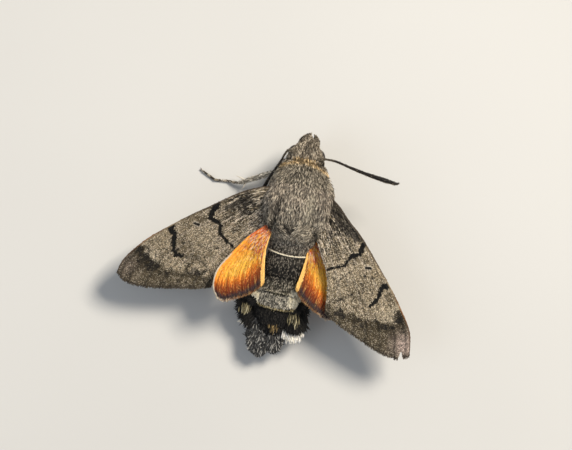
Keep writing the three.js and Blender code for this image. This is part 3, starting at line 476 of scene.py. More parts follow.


# Colours of the back and the belly, and the share of pale hairs, by y
# The dark stops at 6.5, 9.03 and 11.18, just behind the pale waist line and the rear edges of two rings, are
# painted shade under their overhang
BACK = [
    (RAMP_FRONT, "#6a6052"), (-5.7, "#7b7162"), (-5.55, "#c8ab7c"), (-5.42, "#c8ab7c"), (-5.2, "#a99c84"),
    (-4.85, "#8a8273"), (-3.1, "#8b8374"), (-2.4, "#9a8f82"), (-0.9, "#9d9284"), (0.4, "#968d80"),
    (2.4, "#a29989"), (4.3, "#958d7f"), (4.9, "#8d8579"), (5.5, "#6b655b"), (6.3, "#4f4a43"),
    (6.5, "#2a2723"), (7.0, "#4b4741"), (7.5, "#1f1d1a"), (8.85, "#181613"), (9.03, "#0b0a09"),
    (9.16, "#37342e"), (10.2, "#555146"), (10.95, "#4e4a40"), (11.08, "#a79f83"), (11.18, "#1b1916"),
    (11.4, "#918d81"), (12.9, "#9c988c"), (13.0, "#15130f"), (13.14, "#bfae7a"), (13.26, "#0b0a09"),
    (RAMP_REAR, "#1c1b1b"),
]
BELLY = [(RAMP_FRONT, "#cfc6b4"), (4.5, "#bdb3a0"), (7.0, "#85705b"), (RAMP_REAR, "#4a4038")]
SALT = [
    (-5.0, 0.75), (4.2, 0.9), (4.7, 0.5), (6.1, 0.35), (8.9, 0.28), (9.1, 0.35), (11.2, 0.7), (13.1, 0.6),
    (13.3, 0.05),
]

# %% The body's node tree
def make_body_material():
    material, node = new_material("furry_scales_of_the_body")
    place = node("TexCoord", output="Object")
    along, turn, patch, gloom = read_values(node, "along_body", "around_body", "patch", "gloom")
    back, belly, salt = ([(body_place(y), shade) for y, shade in table] for table in (BACK, BELLY, SALT))
    # Noise with a grain of 0.4 mm frays the bands' edges by 0.06 mm, and clouds of 1.4 mm tone them
    fray = node("TexNoise", Vector=place, Scale=2.5 / MM, Detail=2.0)
    fray = node("MapRange", fray, 0, 1, -0.0022, 0.0022)
    ramp_place = node("Math ADD", along, fray)
    paint = node("ValToRGB", ramp_place, stops=back)
    paint = mottled(node, paint, place, 0.7 / MM, 3.0, 0.85, 1.13)
    # Lighter and darker locks, a millimetre long and a third as wide
    laid = node("CombineXYZ", node("Math MULTIPLY", along, 28.0), node("Math MULTIPLY", turn, 13.0))
    paint = mottled(node, paint, laid, 1.0, 2.0, 0.7, 1.3, 0.15)
    # Cream patches and pale haze; the haze on the thorax's right side is painted light
    paint = node("Mix", patch, paint, "#fbf3d8")
    # Whitish throat and chest, rusty grey belly
    low = node("MapRange", node("Math ABSOLUTE", turn), 1.75, 2.25)
    paint = node("Mix", low, paint, node("ValToRGB", ramp_place, stops=belly))
    # Dark marks and painted shade: gloom darkens the whorl's V, the flap seams, the flanks and the face's
    # edges, besides the dark haze and the crown's parting
    paint = node("Mix", gloom, paint, "#1d1a17")
    # Many pale hairs on the thorax, few on the dark rings
    salt = node("ValToRGB", along, stops=salt)
    salt = node("Math MULTIPLY", salt, node("Math SUBTRACT", 1.0, gloom))
    paint = strand_shade(node, paint, 0.1, 2.0, 0.26, "#eadfcb", 0.4, salt)
    paint = node("Mix", node("Math MULTIPLY", patch, 0.8), paint, "#f6edd6")
    # Real hair is 0.02 mm thick, too fine to show, so the grain is 0.1 mm wide and 0.7 mm long
    grain = node("Mapping", place, Scale=(9 / MM, 1.5 / MM, 9 / MM))
    grain = node("TexNoise", Vector=grain, Scale=1.0, Detail=2.0)
    finish_scales(node, paint, 0.8, node("Bump", Strength=0.6, Distance=0.08 * MM, Height=grain))
    return material


body_material = make_body_material()
print("nodes in the body's material:", len(body_material.node_tree.nodes))

# %% Marks on the body
# Painted shade: the dark V where the hair of both sides meets in the whorl, and along the seams at the flaps'
# inner edges
WHORL = np.array([[1.15, 2.5], [0.75, 2.9], [0.22, 3.25], [-0.2, 2.9], [-0.45, 2.4]])  # dark V
SHADED_SEAMS = [  # inner edges of the wing flaps
    np.array([[2.0, -0.6], [2.3, 1.2], [2.9, 3.3]]), np.array([[-2.2, -0.4], [-2.45, 0.75], [-3.7, 3.66]])
]
CROWN = np.array([[0.08, -7.6], [0.1, -6.3]])  # dark parting of the head's hair
# Marks bow toward the flanks: ramp's y, shift there, power of the sine that it grows with
BOWS = [
    [-6.6, 0.0, 2], [-5.46, 0.85, 2], [-4.3, 0.3, 2], [-3.0, 0.0, 2], [5.0, 0.0, 2], [6.4, -0.37, 2],
    [7.6, 0.0, 2], [9.1, 0.0, 3], [11.25, -1.9, 3], [13.05, -1.0, 3], [15.0, 0.0, 3],
]
# Places of pale and dark haze on the thorax: x, y, radii, strength
# The first pale haze, on the moth's right side alone, is painted light on the side that faces the key lamp
PALE_HAZE = [[-1.75, -0.3, 0.7, 1.7, 0.24], [0.5, 0.6, 0.35, 0.35, 0.26], [0.4, -1.7, 1.6, 0.6, 0.08]]
DARK_HAZE = [
    [0.03, -0.12, 0.3, 0.2, 0.55], [0.4, 2.45, 0.35, 0.35, 0.6], [2.0, 2.7, 0.8, 1.5, 0.4],
    [0.3, -4.0, 2.2, 0.6, 0.2],
]


def body_uv(y, turn):
    """Unwrap of the skin: down the body, and round it from the belly's middle line."""
    around = (turn + np.pi) % (2 * np.pi) / (2 * np.pi)
    return np.stack([(y - BODY_FRONT) / (BODY_REAR - BODY_FRONT), around], axis=-1)


def mark_place(y, turn):
    """The ramp's y at a place of the skin, found backwards between the bowed lines."""
    place = y + 0.0
    sine = np.abs(np.sin(turn))
    for (low, low_shift, low_power), (high, high_shift, high_power) in zip(BOWS[:-1], BOWS[1:]):
        from_y = low + low_shift * sine ** low_power
        share = (y - from_y) / (high + high_shift * sine ** high_power - from_y)
        place = np.where((share >= 0) & (share < 1), low + share * (high - low), place)
    return place


def haze(x, y, spots):
    """Sum of soft oval spots: strength times exp(-(dx / a)^2 - (dy / b)^2)."""
    return sum(power * np.exp(-((x - sx) / a) ** 2 - ((y - sy) / b) ** 2) for sx, sy, a, b, power in spots)


def body_values(y, turn):
    """How far down the body and round it, the strength of the dark marks and painted shade, and of the cream
    patches and pale haze, part of it painted light.
    """
    wrapped = wrap(turn)
    off = np.abs(wrapped)
    x = body_lean(y) + np.sin(wrapped) * smooth_column(BODY, 1, y)
    plan = np.stack([x, y], axis=-1)
    on_back = smoothstep(1.7, 1.2, off)
    seam_shade = smoothstep(0.4, 0.05, np.minimum(*(line_distance(plan, line) for line in SHADED_SEAMS)))
    dark = smoothstep(0.5, 0.0, line_distance(plan, WHORL)) + haze(x, y, DARK_HAZE) + 0.65 * seam_shade
    dark = dark + 0.5 * smoothstep(0.22, 0.06, line_distance(plan, CROWN))
    # Painted shade on the flanks of the thorax and at the edges of the face
    dark = dark + 0.4 * smoothstep(0.95, 1.35, off) * smoothstep(-4.5, -2.0, y) * smoothstep(5.0, 4.0, y)
    dark = dark + 0.35 * smoothstep(0.9, 1.3, off) * smoothstep(-5.6, -6.2, y)
    left = smoothstep(0.8, 0.98, wrapped) * smoothstep(11.1, 11.35, y) * smoothstep(12.6, 12.3, y)
    right = smoothstep(0.42, 0.62, -wrapped) * smoothstep(10.2, 10.6, y) * smoothstep(12.6, 12.3, y)
    # Cream patches of the third ring, plus the pale haze, whose first spot is painted light
    patch = smoothstep(1.25, 1.0, off) * (0.8 * left + right) + on_back * haze(x, y, PALE_HAZE)
    return {
        "along_body": body_place(mark_place(y, turn)), "around_body": wrapped,
        "gloom": on_back * np.clip(dark, 0, 0.93), "patch": np.clip(patch, 0, 1),
    }

# %% The bare skin
def skin(name, surface, places, sides, material, values_at, replaced=(), strand=0.35, reach=0.4):
    """Closed skin piece with its coat's attributes: strand and reach give it a middling tone, darkened by the
    coat's painted root shade.
    """
    turns = 2 * np.pi * np.arange(sides) / sides
    points, faces = closed_grid(surface, places, turns)
    place = np.concatenate([np.repeat(places, sides), places[[0, -1]]])
    turn = np.concatenate([np.tile(turns, len(places)), [0.0, 0.0]])
    values = values_at(place, turn)
    values["strand"], values["reach"] = np.full(len(place), strand), np.full(len(place), reach)
    new_piece(name, points, faces, material, values, replaced=replaced)


skin(
    "body_skin", partial(body_surface, depth=1.0), np.linspace(BODY_FRONT, BODY_REAR, 240), 96, body_material,
    body_values,
    ("head", "collar", "thorax", "tegula_left", "tegula_right", "abdomen_front", "abdomen_rear"),
    strand=0.3, reach=0.25,
)

# %% [markdown]
# ## Hair of the head and thorax
# The hair lies back over the thorax and forward over the face, where it draws together into the
# pointed snout. Near the rear of the thorax the two sides swing in to a whorl. A row of longer
# hair crosses the waist. On a real moth one hair is some 0.02 mm thick; a tuft here stands for a
# lock of them, as fine as the picture can show.

# %% Coats of the head and thorax
def body_girth(y):
    return np.pi * (smooth_column(BODY, 1, y) + (smooth_column(BODY, 2, y) - smooth_column(BODY, 3, y)) / 2)


def body_roots(start, end, row_step, spacing, depth, keep=None):
    """Roots in rows on the body, those that keep(turn, points) chooses."""
    y, share = scatter_rows(start, end, row_step, spacing, body_girth)
    turn = 2 * np.pi * share - np.pi
    place_frame = surface_frame(partial(body_surface, depth=depth), y, turn)
    if keep is None:
        return y, turn, place_frame
    chosen = keep(turn, place_frame[0])
    return y[chosen], turn[chosen], tuple(part[chosen] for part in place_frame)


def body_coat(name, roots, lay, style, values_at=body_values):
    """Coat on the body. Its headings and the lengths in its style may be functions of the place."""
    y, turn, place_frame = roots
    style = {key: value(y) if callable(value) else value for key, value in style.items()}
    values, uv_place = values_at(y, turn), body_uv(y, turn)
    grow_coat(name, place_frame, lay(y, turn), style, body_material, values, uv_place)


def on_shoulder(turn, _):
    return (np.abs(np.sin(turn)) > 0.62) & (np.cos(turn) > -0.35)


def over_eyes(turn, _):
    return (np.abs(turn) > 0.4) & (np.abs(turn) < 1.0)


def clear_of_eyes(turn, points):
    x = np.sign(points[:, 0]) * EYE["x"]
    centre = np.stack([x, np.full(len(x), EYE["y"]), np.full(len(x), EYE["z"])], axis=-1)
    return np.linalg.norm(points - centre, axis=-1) > EYE["radius"] + EYE["rim"]


def head_length(y):
    return 0.3 + 0.25 * smoothstep(-8.6, -7.4, y)


def thorax_lay(y, turn):
    """Swing toward the middle line in the rear third, then out again at the very edge."""
    side = np.sin(turn)
    inward = smoothstep(1.2, 3.0, y) * (1 - smoothstep(3.7, 4.4, y))
    outward = side * (0.35 * smoothstep(4.0, 4.6, y) + 0.3 * smoothstep(-1.0, -4.5, y))
    return -1.3 * inward * np.tanh(3.5 * (side - 0.08)) + outward


THORAX_STYLE = {"length": 0.66, "width": 0.1, "lift": 0.45}
for part, start, end in (("front", -4.85, -2.0), ("middle", -2.0, 1.2), ("rear", 1.2, 4.45)):
    body_coat(f"thorax_hair_{part}", body_roots(start, end, 0.12, 0.11, 0.75), thorax_lay, THORAX_STYLE)

# Longer hair on the wing flaps and over the shoulders
body_coat(
    "flap_hair", body_roots(-3.6, 3.4, 0.2, 0.2, 0.7, on_shoulder), lambda y, turn: 0.12 * np.sin(turn),
    {"length": 0.95, "width": 0.1, "lift": 0.32},
)
body_coat(
    "mane_over_the_waist", body_roots(3.6, 4.5, 0.11, 0.11, 0.75), lambda y, turn: -0.3 * np.sin(turn),
    {"length": 0.75, "width": 0.11, "lift": 0.3, "lay_spread": 0.16},
    values_at=lambda y, turn: body_values(np.full_like(y, 4.0), turn),
)
body_coat(
    "head_hair", body_roots(-8.75, -5.3, 0.1, 0.1, 0.8, clear_of_eyes), lambda y, turn: np.full(len(y), np.pi),
    {"length": head_length, "width": 0.105, "lift": 0.4, "lay_spread": 0.26},
)
# Brows that shade the eyes
body_coat(
    "brow_hair", body_roots(-7.2, -5.6, 0.11, 0.09, 0.6, over_eyes),
    lambda y, turn: np.pi - 0.75 * np.sign(turn),
    {"length": 0.6, "width": 0.09, "lift": 0.25, "lay_spread": 0.2},
)


def straight(y, turn):
    return np.zeros(len(y))


body_coat(
    "collar_hair", body_roots(-5.45, -4.8, 0.11, 0.11, 0.8, clear_of_eyes), straight,
    {"length": 0.45, "width": 0.11, "lift": 0.6, "curl": 0.4, "lay_spread": 0.25},
)

# %% [markdown]
# ## Scales of the abdomen
# The abdomen's scales are shorter and flatter, laid like tiles toward the tail, and each ring ends
# in a fringe that stands a little over the next one.

# %% Coat of the abdomen
TILE_LENGTH = 0.34


def length_to_edge(y):
    """Scales shorten toward the ring's edge, so that they don't hang over it."""
    clear = np.min([np.where(y < edge, edge - y, 9.0) for edge in RINGS], axis=0)
    return np.minimum(TILE_LENGTH, 0.12 + clear)


tile_style = {
    "length": length_to_edge, "width": 0.13, "lift": 0.14, "curl": 0.06, "lay_spread": 0.1, "swerve": 0.05,
    "taper": TILE, "thick": 0.25,
}
for part, start, end in (("front", 4.5, 9.9), ("rear", 9.9, 15.9)):
    roots = body_roots(start, end, 0.13, 0.13, 0.6)
    body_coat(f"abdomen_scales_{part}", roots, straight, tile_style)

fringes = [body_roots(edge - 0.2, edge - 0.02, 0.07, 0.09, 0.35) for edge in RINGS[1:-1]]
y, turn = (np.concatenate([row[part] for row in fringes]) for part in (0, 1))
place_frame = tuple(np.concatenate([row[2][part] for row in fringes]) for part in range(4))
body_coat(
    "ring_fringes", (y, turn, place_frame), straight,
    {
        "length": 0.22, "width": 0.09, "lift": 0.05, "curl": 0.1, "lay_spread": 0.06, "taper": TILE,
        "thick": 0.3,
    },
    lambda y, turn: body_values(y + 0.03, turn),
)

# A row of short pale scales rings the waist
WAIST_SCALES = 340
turn = np.linspace(-1.4, 1.4, WAIST_SCALES) + 0.012 * rng.standard_normal(WAIST_SCALES)
y = 6.3 - 0.37 * np.sin(turn) ** 2 + 0.02 * rng.standard_normal(WAIST_SCALES)
line_style = {
    "length": 0.17, "width": 0.07, "lift": 0.16, "curl": 0.05, "lay_spread": 0.05, "swerve": 0.04,
    "taper": TILE, "thick": 0.25, "length_spread": 0.1,
}
body_coat(
    "pale_line_of_the_waist", (y, turn, surface_frame(partial(body_surface, depth=0.15), y, turn)), straight,
    line_style, lambda y, turn: dict(body_values(y, turn), patch=np.full(len(y), 0.93)),
)

# %% [markdown]
# ## Tufts of the flanks and the tail
# Along the flanks of the abdomen stand tufts of long flat scales, black with a few cream and white
# ones, and the tail ends in a fan of dark scales in two lobes. Each tuft is drawn as a bunch: its
# roots are spread over a small patch of the flank and its scales fan out from a middle heading.

# %% Bunches of long scales
def bunch_material(name, body, dark, light, fleck_colour, flecks):
    """Long flat scales of chitin: matt, of one colour clouded every 0.8 mm, a share of them paler."""
    material, node = new_material(name)
    place = node("TexCoord", output="Object")
    paint = mottled(node, colour(body)[:3], place, 1.2 / MM, 2.0, 0.8, 1.15)
    finish_scales(node, strand_shade(node, paint, dark, light, flecks, fleck_colour), 0.62)
    return material


BUNCH_PAINTS = {
    "black": bunch_material("black_tuft_scales", "#11100e", 0.5, 1.5, "#4a453c", 0.06),
    "cream": bunch_material("cream_tuft_scales", "#8f8666", 0.15, 1.5, "#d9cfae", 0.2),
    "white": bunch_material("white_tuft_scales", "#fdf8ea", 0.95, 1.1, "#ffffff", 0.3),
    "pale": bunch_material("pale_flank_scales", "#f2e8cc", 0.8, 1.25, "#fffaea", 0.35),
    "rusty": bunch_material("rusty_tuft_scales", "#75623e", 0.15, 1.35, "#b0986a", 0.15),
}
# Tips (x, y), height of the roots, degrees outward from rearward, reach, count, spread of the
# tips, fan in degrees
BUNCHES = {
    "black": [
        [-4.35, 11.9, 3.3, 58, 2.0, 200, 0.25, 18], [-3.95, 13.1, 3.2, 50, 2.2, 260, 0.28, 18],
        [-3.95, 14.3, 3.2, 43, 2.3, 260, 0.3, 18], [-4.1, 15.2, 3.1, 36, 2.4, 240, 0.24, 16],
        [-3.4, 15.65, 3.55, 26, 1.8, 220, 0.28, 16], [-2.5, 15.65, 3.55, 16, 1.6, 170, 0.28, 16],
        [3.45, 12.6, 3.9, 50, 1.1, 110, 0.22, 14], [3.0, 13.2, 4.0, 40, 1.1, 90, 0.22, 14],
        [-3.35, 12.5, 3.95, 45, 1.1, 110, 0.22, 14], [-2.9, 13.2, 4.05, 30, 1.0, 90, 0.22, 14],
        [4.45, 12.5, 3.3, 58, 2.1, 240, 0.26, 18], [4.35, 13.5, 3.1, 50, 2.3, 260, 0.28, 18],
        [4.2, 14.4, 3.1, 44, 2.4, 260, 0.28, 18], [3.75, 15.2, 3.0, 36, 2.4, 240, 0.26, 16],
        [2.95, 16.0, 2.8, 28, 2.3, 200, 0.25, 14], [2.35, 16.5, 2.7, 20, 2.0, 120, 0.22, 12],
    ],
    "cream": [[3.45, 14.3, 3.85, 12, 0.9, 55, 0.27, 14], [-2.65, 14.6, 3.95, 12, 1.1, 65, 0.34, 14]],
    "white": [
        [-2.2, 16.6, 3.05, 10, 1.7, 120, 0.2, 10], [-2.9, 16.95, 3.0, 16, 1.8, 150, 0.2, 10],
        [-3.55, 16.8, 3.0, 24, 1.8, 130, 0.2, 10], [-4.0, 16.2, 3.0, 32, 1.7, 70, 0.16, 10],
        [3.85, 15.9, 2.6, 32, 0.7, 8, 0.1, 8], [3.0, 16.3, 2.6, 24, 0.6, 6, 0.1, 8],
    ],
    "pale": [
        [2.85, 11.95, 4.35, 35, 0.8, 85, 0.2, 12], [2.5, 12.3, 4.5, 25, 0.7, 40, 0.18, 12],
        [-2.3, 11.95, 4.9, 25, 0.8, 160, 0.26, 12], [-2.75, 11.4, 4.55, 32, 0.8, 150, 0.24, 12],
        [-2.3, 11.2, 4.95, 25, 0.7, 90, 0.24, 12],
    ],
    "rusty": [[-0.4, 15.9, 3.75, 0, 0.6, 60, 0.32, 26]],
}
LONG_STYLE = {"width": 0.13, "curl": 0.1, "taper": LANCE, "thick": 0.25}
FLANK_MIDDLE, FAN_MIDDLE = 3.2, 2.6  # heights that they are unwrapped about

# %% Grow the bunches
def long_scales(name, roots, heading, reach, fall, style, material, uv_place, replaced=()):
    """Scales from given roots: heading 0 points rearward, positive to the left."""
    direction = unit(np.stack([np.sin(heading), np.cos(heading), -fall], axis=-1))
    out = unit(np.stack([0.25 * np.sin(heading), np.zeros_like(heading), np.ones_like(heading)], axis=-1))
    around = unit(np.cross(direction, out))
    frame_at = (roots, direction, around, unit(np.cross(around, direction)))
    style = dict(LONG_STYLE, length=reach, **style)
    values = {"along_body": body_place(roots[:, 1])}
    grow_coat(name, frame_at, 0.0, style, material, values, uv_place, replaced)


for paint, material in BUNCH_PAINTS.items():
    bunches = []
    for x, y, z, outward, reach, count, spread, fan in BUNCHES[paint]:
        tips = np.array([x, y, z]) + spread * rng.standard_normal((count, 3)) * [1.0, 0.8, 0.5]
        heading = np.sign(x) * np.radians(outward) + np.radians(fan) * 0.6 * rng.standard_normal(count)
        long = reach * rng.uniform(0.75, 1.1, count)
        ahead = np.stack([np.sin(heading), np.cos(heading), 0 * heading], axis=-1)
        bunches.append((tips - ahead * long[:, None], heading, long))
    roots, headings, reaches = map(np.concatenate, zip(*bunches))
    long_scales(
        f"flank_tufts_{paint}", roots, headings, reaches, rng.uniform(0.0, 0.2, len(roots)),
        {"lift": 0.08, "lay_spread": 0.05, "length_spread": 0.0, "swerve": 0.1}, material,
        body_uv(roots[:, 1], np.arctan2(roots[:, 0], roots[:, 2] - FLANK_MIDDLE)),
    )

# %% Tail fan: two lobes of long scales in layers over a short core
FAN_END = [  # x and y of the fan's rear edge: the moth's right lobe, the notch, the longer left lobe
    [-1.8, 17.9], [-1.54, 18.6], [-1.0, 18.97], [-0.35, 18.9], [-0.2, 18.7], [0.06, 19.35], [0.75, 19.8],
    [1.74, 19.3], [2.45, 18.4],
]
FAN = {"count": 4200, "right": -1.78, "left": 2.42, "front": 15.3, "middle": 0.3, "half_width": 2.4}
tail_material = bunch_material("charcoal_fan_scales", "#3a3a3a", 0.05, 2.6, "#c4c2bb", 0.18)

x = rng.uniform(FAN["right"], FAN["left"], FAN["count"])
end = np.interp(x, *np.transpose(FAN_END))
y = FAN["front"] + (end - FAN["front"]) * rng.random(FAN["count"]) ** 0.7
swirl = (0.12 + 0.5 * smoothstep(0.3, 1.3, end - y)) * rng.standard_normal(FAN["count"])
heading = 0.05 * (x - FAN["middle"]) + swirl
reach = rng.uniform(0.6, 1.25, FAN["count"])
depth = rng.random(FAN["count"])  # 0 on top of the fan, 1 underneath
x, y = x - reach * np.sin(heading), y - reach * np.cos(heading)
bulk = np.sqrt(np.clip(1 - ((x - FAN["middle"]) / FAN["half_width"]) ** 2, 0.05, 1))
bulk = bulk * np.interp(y, [15, 17.5, 19.5], [1.0, 0.8, 0.35])
roots = np.stack([x, y, 2.75 - 0.16 * (y - 15) + 0.95 * bulk * (0.5 - depth)], axis=-1)
long_scales(
    "tail_fan_scales", roots, heading, reach, np.full(FAN["count"], 0.08),
    {"lift": 0.16, "lay_spread": 0.08, "length_spread": 0.05, "swerve": 0.2}, tail_material,
    body_uv(np.minimum(y, BODY_REAR), np.arctan2(x, roots[:, 2] - FAN_MIDDLE)), ("tail_fan",),
)

# %% [markdown]
# ## The plan of a wing
# A wing is a thin sheet stiffened by a fan of veins. Its outline is three curves: the front edge,
# the outer margin and the rear edge. A place on the wing is given by how far out it lies and by
# its place in the fan, from 0 at the front edge to 1 at the rear, so rows of scales, veins and
# marks can all be laid out in the same two numbers.

# %% Wing plans and how they are held
# Points are millimetres from the root toward the apex, and rearward
FOREWING = {
    "costa": [[-1.4, -0.7], [0, -1.45], [1.8, -1.94], [3.6, -2.19], [7.2, -2.27], [9.9, -2.34], [13.0, -2.28],
              [16.2, -2.06], [19.6, -1.2], [21.2, -0.1]],
    "margin": [[21.2, -0.1], [20.8, 1.4], [18.9, 3.1], [15.2, 5.1], [13.1, 6.15], [11.4, 6.75]],
    "dorsum": [[-1.4, 2.2], [1.2, 3.1], [5.0, 3.95], [6.6, 4.2], [8.5, 4.9], [10.2, 5.9], [11.4, 6.75]],
    "veins": [[0.045, 0], [0.16, 0], [0.33, 0.5], [0.49, 0.5], [0.64, 0], [0.8, 0.4], [0.95, 0]],
    "pleat": 0.012,
}
WORN_FOREWING = dict(  # the right wing's front edge is drawn back at its root; its margin has a nick
    FOREWING, nick=(0.095, 0.016, 0.042),  # place and width on the margin, depth
    costa=[[-1.4, -0.3], [0, -0.72], [0.75, -0.89], [3.0, -1.16], [5.6, -1.61], [11.6, -1.88], [15.5, -1.83],
           [18.6, -1.47], [21.2, -0.1]],
)
HINDWING = {
    "costa": [[-1.2, -0.4], [0, -0.8], [1.8, -1.45], [5.0, -1.95], [6.8, -2.15], [8.3, -1.9], [9.5, -1.2],
              [10.15, -0.3]],
    "margin": [[10.15, -0.3], [10.0, 0.7], [8.9, 1.65], [7.6, 2.6], [6.2, 3.25], [5.0, 3.4]],
    "dorsum": [[-1.2, 0.5], [0, 0.7], [1.7, 1.25], [3.3, 2.2], [5.0, 3.4]],
    "veins": [[0.1, 0], [0.27, 0], [0.42, 0.4], [0.56, 0.4], [0.7, 0], [0.86, 0]],
    "pleat": 0.05,
    "cream": {1: 0.17, -1: 0.08},  # width of the pale strip along the front edge
}
# side, root, sweep from the tail's direction in degrees, falls outward and rearward, untwist
WING_POSES = {
    "forewing_left": [1, (3.37, -0.3, 7.0), 51.9, 0.12, 0.3, 0.015],
    "forewing_right": [-1, (4.25, -0.9, 7.15), 39.2, 0.09, 0.06, 0.0],
    "hindwing_left": [1, (2.9, 4.0, 6.9), 24.8, 0.08, 0.0, 0.0],
    "hindwing_right": [-1, (2.9, 3.8, 5.3), 27.0, 0.08, -0.36, 0.0],
}
MEMBRANE_HALF = 0.085  # half the thickness of the sheet with its flat under-scales
VEIN_RISE = 0.07

# %% Surface of a wing
def wing_plan(shape, t, w):
    """Straight lines from costa to dorsum, bent by t times the bulge of the outer margin."""
    if "nick" in shape:
        place, width, depth = shape["nick"]
        t = t * (1 - depth * np.exp(-(((w - place) / width) ** 2)) * smoothstep(0.8, 1.0, t))
    costa, dorsum, margin = (
        spline(shape[edge], at) for edge, at in (("costa", t), ("dorsum", t), ("margin", w))
    )
    apex, tornus = np.array(shape["costa"][-1]), np.array(shape["dorsum"][-1])
    bulge = margin - (apex * (1 - w)[..., None] + tornus * w[..., None])
    return costa * (1 - w)[..., None] + dorsum * w[..., None] + t[..., None] * bulge


def wing_relief(shape, t, w):
    """Veins as bell-shaped ridges, with the sheet pleated between them."""
    ridges = sum(
        VEIN_RISE * smoothstep(start - 0.1, start + 0.1, t) * np.exp(-(((w - place) / 0.012) ** 2))
        for place, start in shape["veins"]
    )
    places = np.array([0.0] + [place for place, _ in shape["veins"]] + [1.0])
    pleat = shape["pleat"] * np.cos(2 * np.pi * np.interp(w, places, np.arange(len(places))))
    return ridges + pleat * np.sin(np.pi * np.clip(t, 0, 1)) ** 0.5


def wing_surface(shape, pose, layer, t, w):
    """Point of the upper (layer 1), middle (0) or lower (-1) face of a wing."""
    side, root, sweep, out_fall, rear_fall, untwist = pose
    plan = wing_plan(shape, t, w)
    s, c = plan[..., 0], plan[..., 1]
    turn = np.radians(sweep)
    edge = smoothstep(0, 0.04, w) * smoothstep(1, 0.97, w) * smoothstep(1, 0.97, t)
    height = MEMBRANE_HALF * (0.35 + 0.65 * edge) * layer
    height = height + wing_relief(shape, t, w) * (0.3 + 0.7 * edge)
    x = root[0] + s * np.sin(turn) - c * np.cos(turn)
    y = root[1] + s * np.cos(turn) + c * np.sin(turn)
    z = root[2] - (out_fall * s + (rear_fall - untwist * s) * c) + height
    return np.stack([side * x, y, z], axis=-1)


share = np.linspace(0, 1, 5)
print("chords of a forewing:", np.round(wing_plan(FOREWING, share, share * 0 + 1)[:, 1], 1))

# %% [markdown]
# ## The marks of the wings
# The black lines could be painted by hand on a texture. Here each mark is a line drawn through a
# few places of the wing's plan, and every corner of the mesh stores how far it lies from that
# line. The material then blackens what is near, and frays the edge with noise, as the mark on
# the real wing is made of single dark scales. A scale takes the distance at its own root, so it
# is all of one colour.

# %% Places of the marks on the left (1) and right (-1) forewing
MARK_LINES = {
    "inner_line": {
        1: [[6.35, -2.23], [6.35, -1.93], [6.69, -1.71], [7.24, -1.36], [7.63, -1.01], [7.75, -0.8],
            [7.45, -0.54], [7.2, -0.19], [7.01, 0.13], [6.99, 0.49], [7.19, 0.81], [7.41, 1.17], [7.46, 1.6],
            [7.4, 2.02], [7.24, 2.4], [7.08, 2.86], [6.86, 3.2], [6.68, 3.6]],
        -1: [[5.8, -1.9], [6.4, -1.0], [7.05, -0.4], [6.95, 0.15], [6.75, 0.6], [7.05, 1.25], [7.4, 1.95],
             [7.35, 2.4], [7.0, 3.3], [6.8, 4.3]],
    },
    "outer_line": {
        1: [[12.5, -2.3], [12.75, -1.7], [12.65, -0.95], [13.25, -0.15], [13.6, 0.65], [13.6, 1.3],
            [12.95, 1.75]],
        -1: [[12.0, -2.3], [12.25, -1.5], [11.95, -0.95], [12.5, -0.4], [13.0, 0.25], [13.2, 0.9],
             [13.3, 1.5]],
    },
    "fine_line": {
        1: [[12.95, 1.75], [12.3, 2.1], [11.7, 2.3], [11.2, 3.1], [10.9, 4.3], [10.5, 5.7]],
        -1: [[13.3, 1.5], [12.6, 2.0], [11.6, 2.3], [11.1, 3.1], [10.8, 4.3], [10.5, 5.7]],
    },
}
DUSK_LINE = {
    1: [[18.2, -2.3], [17.3, -1.25], [17.15, -0.1], [16.85, 0.7], [16.35, 1.65], [15.4, 2.7], [13.9, 3.7],
        [12.4, 4.6], [10.8, 6.6]],
    -1: [[16.1, -2.3], [16.35, -1.5], [16.75, -0.5], [16.5, 0.6], [15.5, 1.75], [14.6, 2.95], [13.2, 4.1],
         [12.1, 5.1], [10.8, 6.6]],
}
SPOT = {1: [[9.75, -1.2], [9.62, -1.0], [9.45, -0.78]], -1: [[8.9, -0.3], [9.0, -0.55], [9.2, -0.72]]}
APEX_BLOOM = {"place": (19.7, -0.2), "radius": 1.4, "strength": {1: 0.2, -1: 1.0}}
DARK_BLOTS = {  # at the roots and on the dusky field: place, radius, strength
    1: [[2.2, -0.7, 1.1, 1], [3.7, -1.1, 0.9, 1], [5.1, -1.0, 0.75, 1], [3.4, 0.2, 0.6, 1],
        [17.3, -1.3, 0.6, 0.7], [17.0, -0.2, 0.75, 0.8], [16.5, 1.2, 0.75, 0.7], [15.4, 2.5, 0.5, 0.5],
        [13.2, 3.8, 0.6, 0.6], [12.2, 4.6, 0.7, 0.7]],
    -1: [[-0.1, -0.4, 1.5, 1.4], [1.7, -0.65, 1.5, 1.4], [3.4, -0.7, 1.15, 1.3], [4.8, -1.1, 0.8, 1.0],
         [2.6, 1.0, 1.0, 0.35], [16.4, 0.5, 0.6, 0.85], [16.75, 1.0, 0.45, 0.6], [16.2, -0.8, 0.6, 0.65],
         [16.5, -1.4, 0.5, 0.5], [12.4, 5.2, 0.7, 0.6], [13.0, 4.7, 0.5, 0.4], [14.85, 3.44, 0.4, 0.6]],
}
EDGE_PLACES = np.linspace(0, 1, 60)  # where an edge is drawn to measure from
HALF_WIDTHS = ([-2.3, -1.4, -0.5, 1.0, 2.5, 4.0], [0.5, 0.3, 0.25, 0.2, 0.18, 0.1])  # of the lines, by place

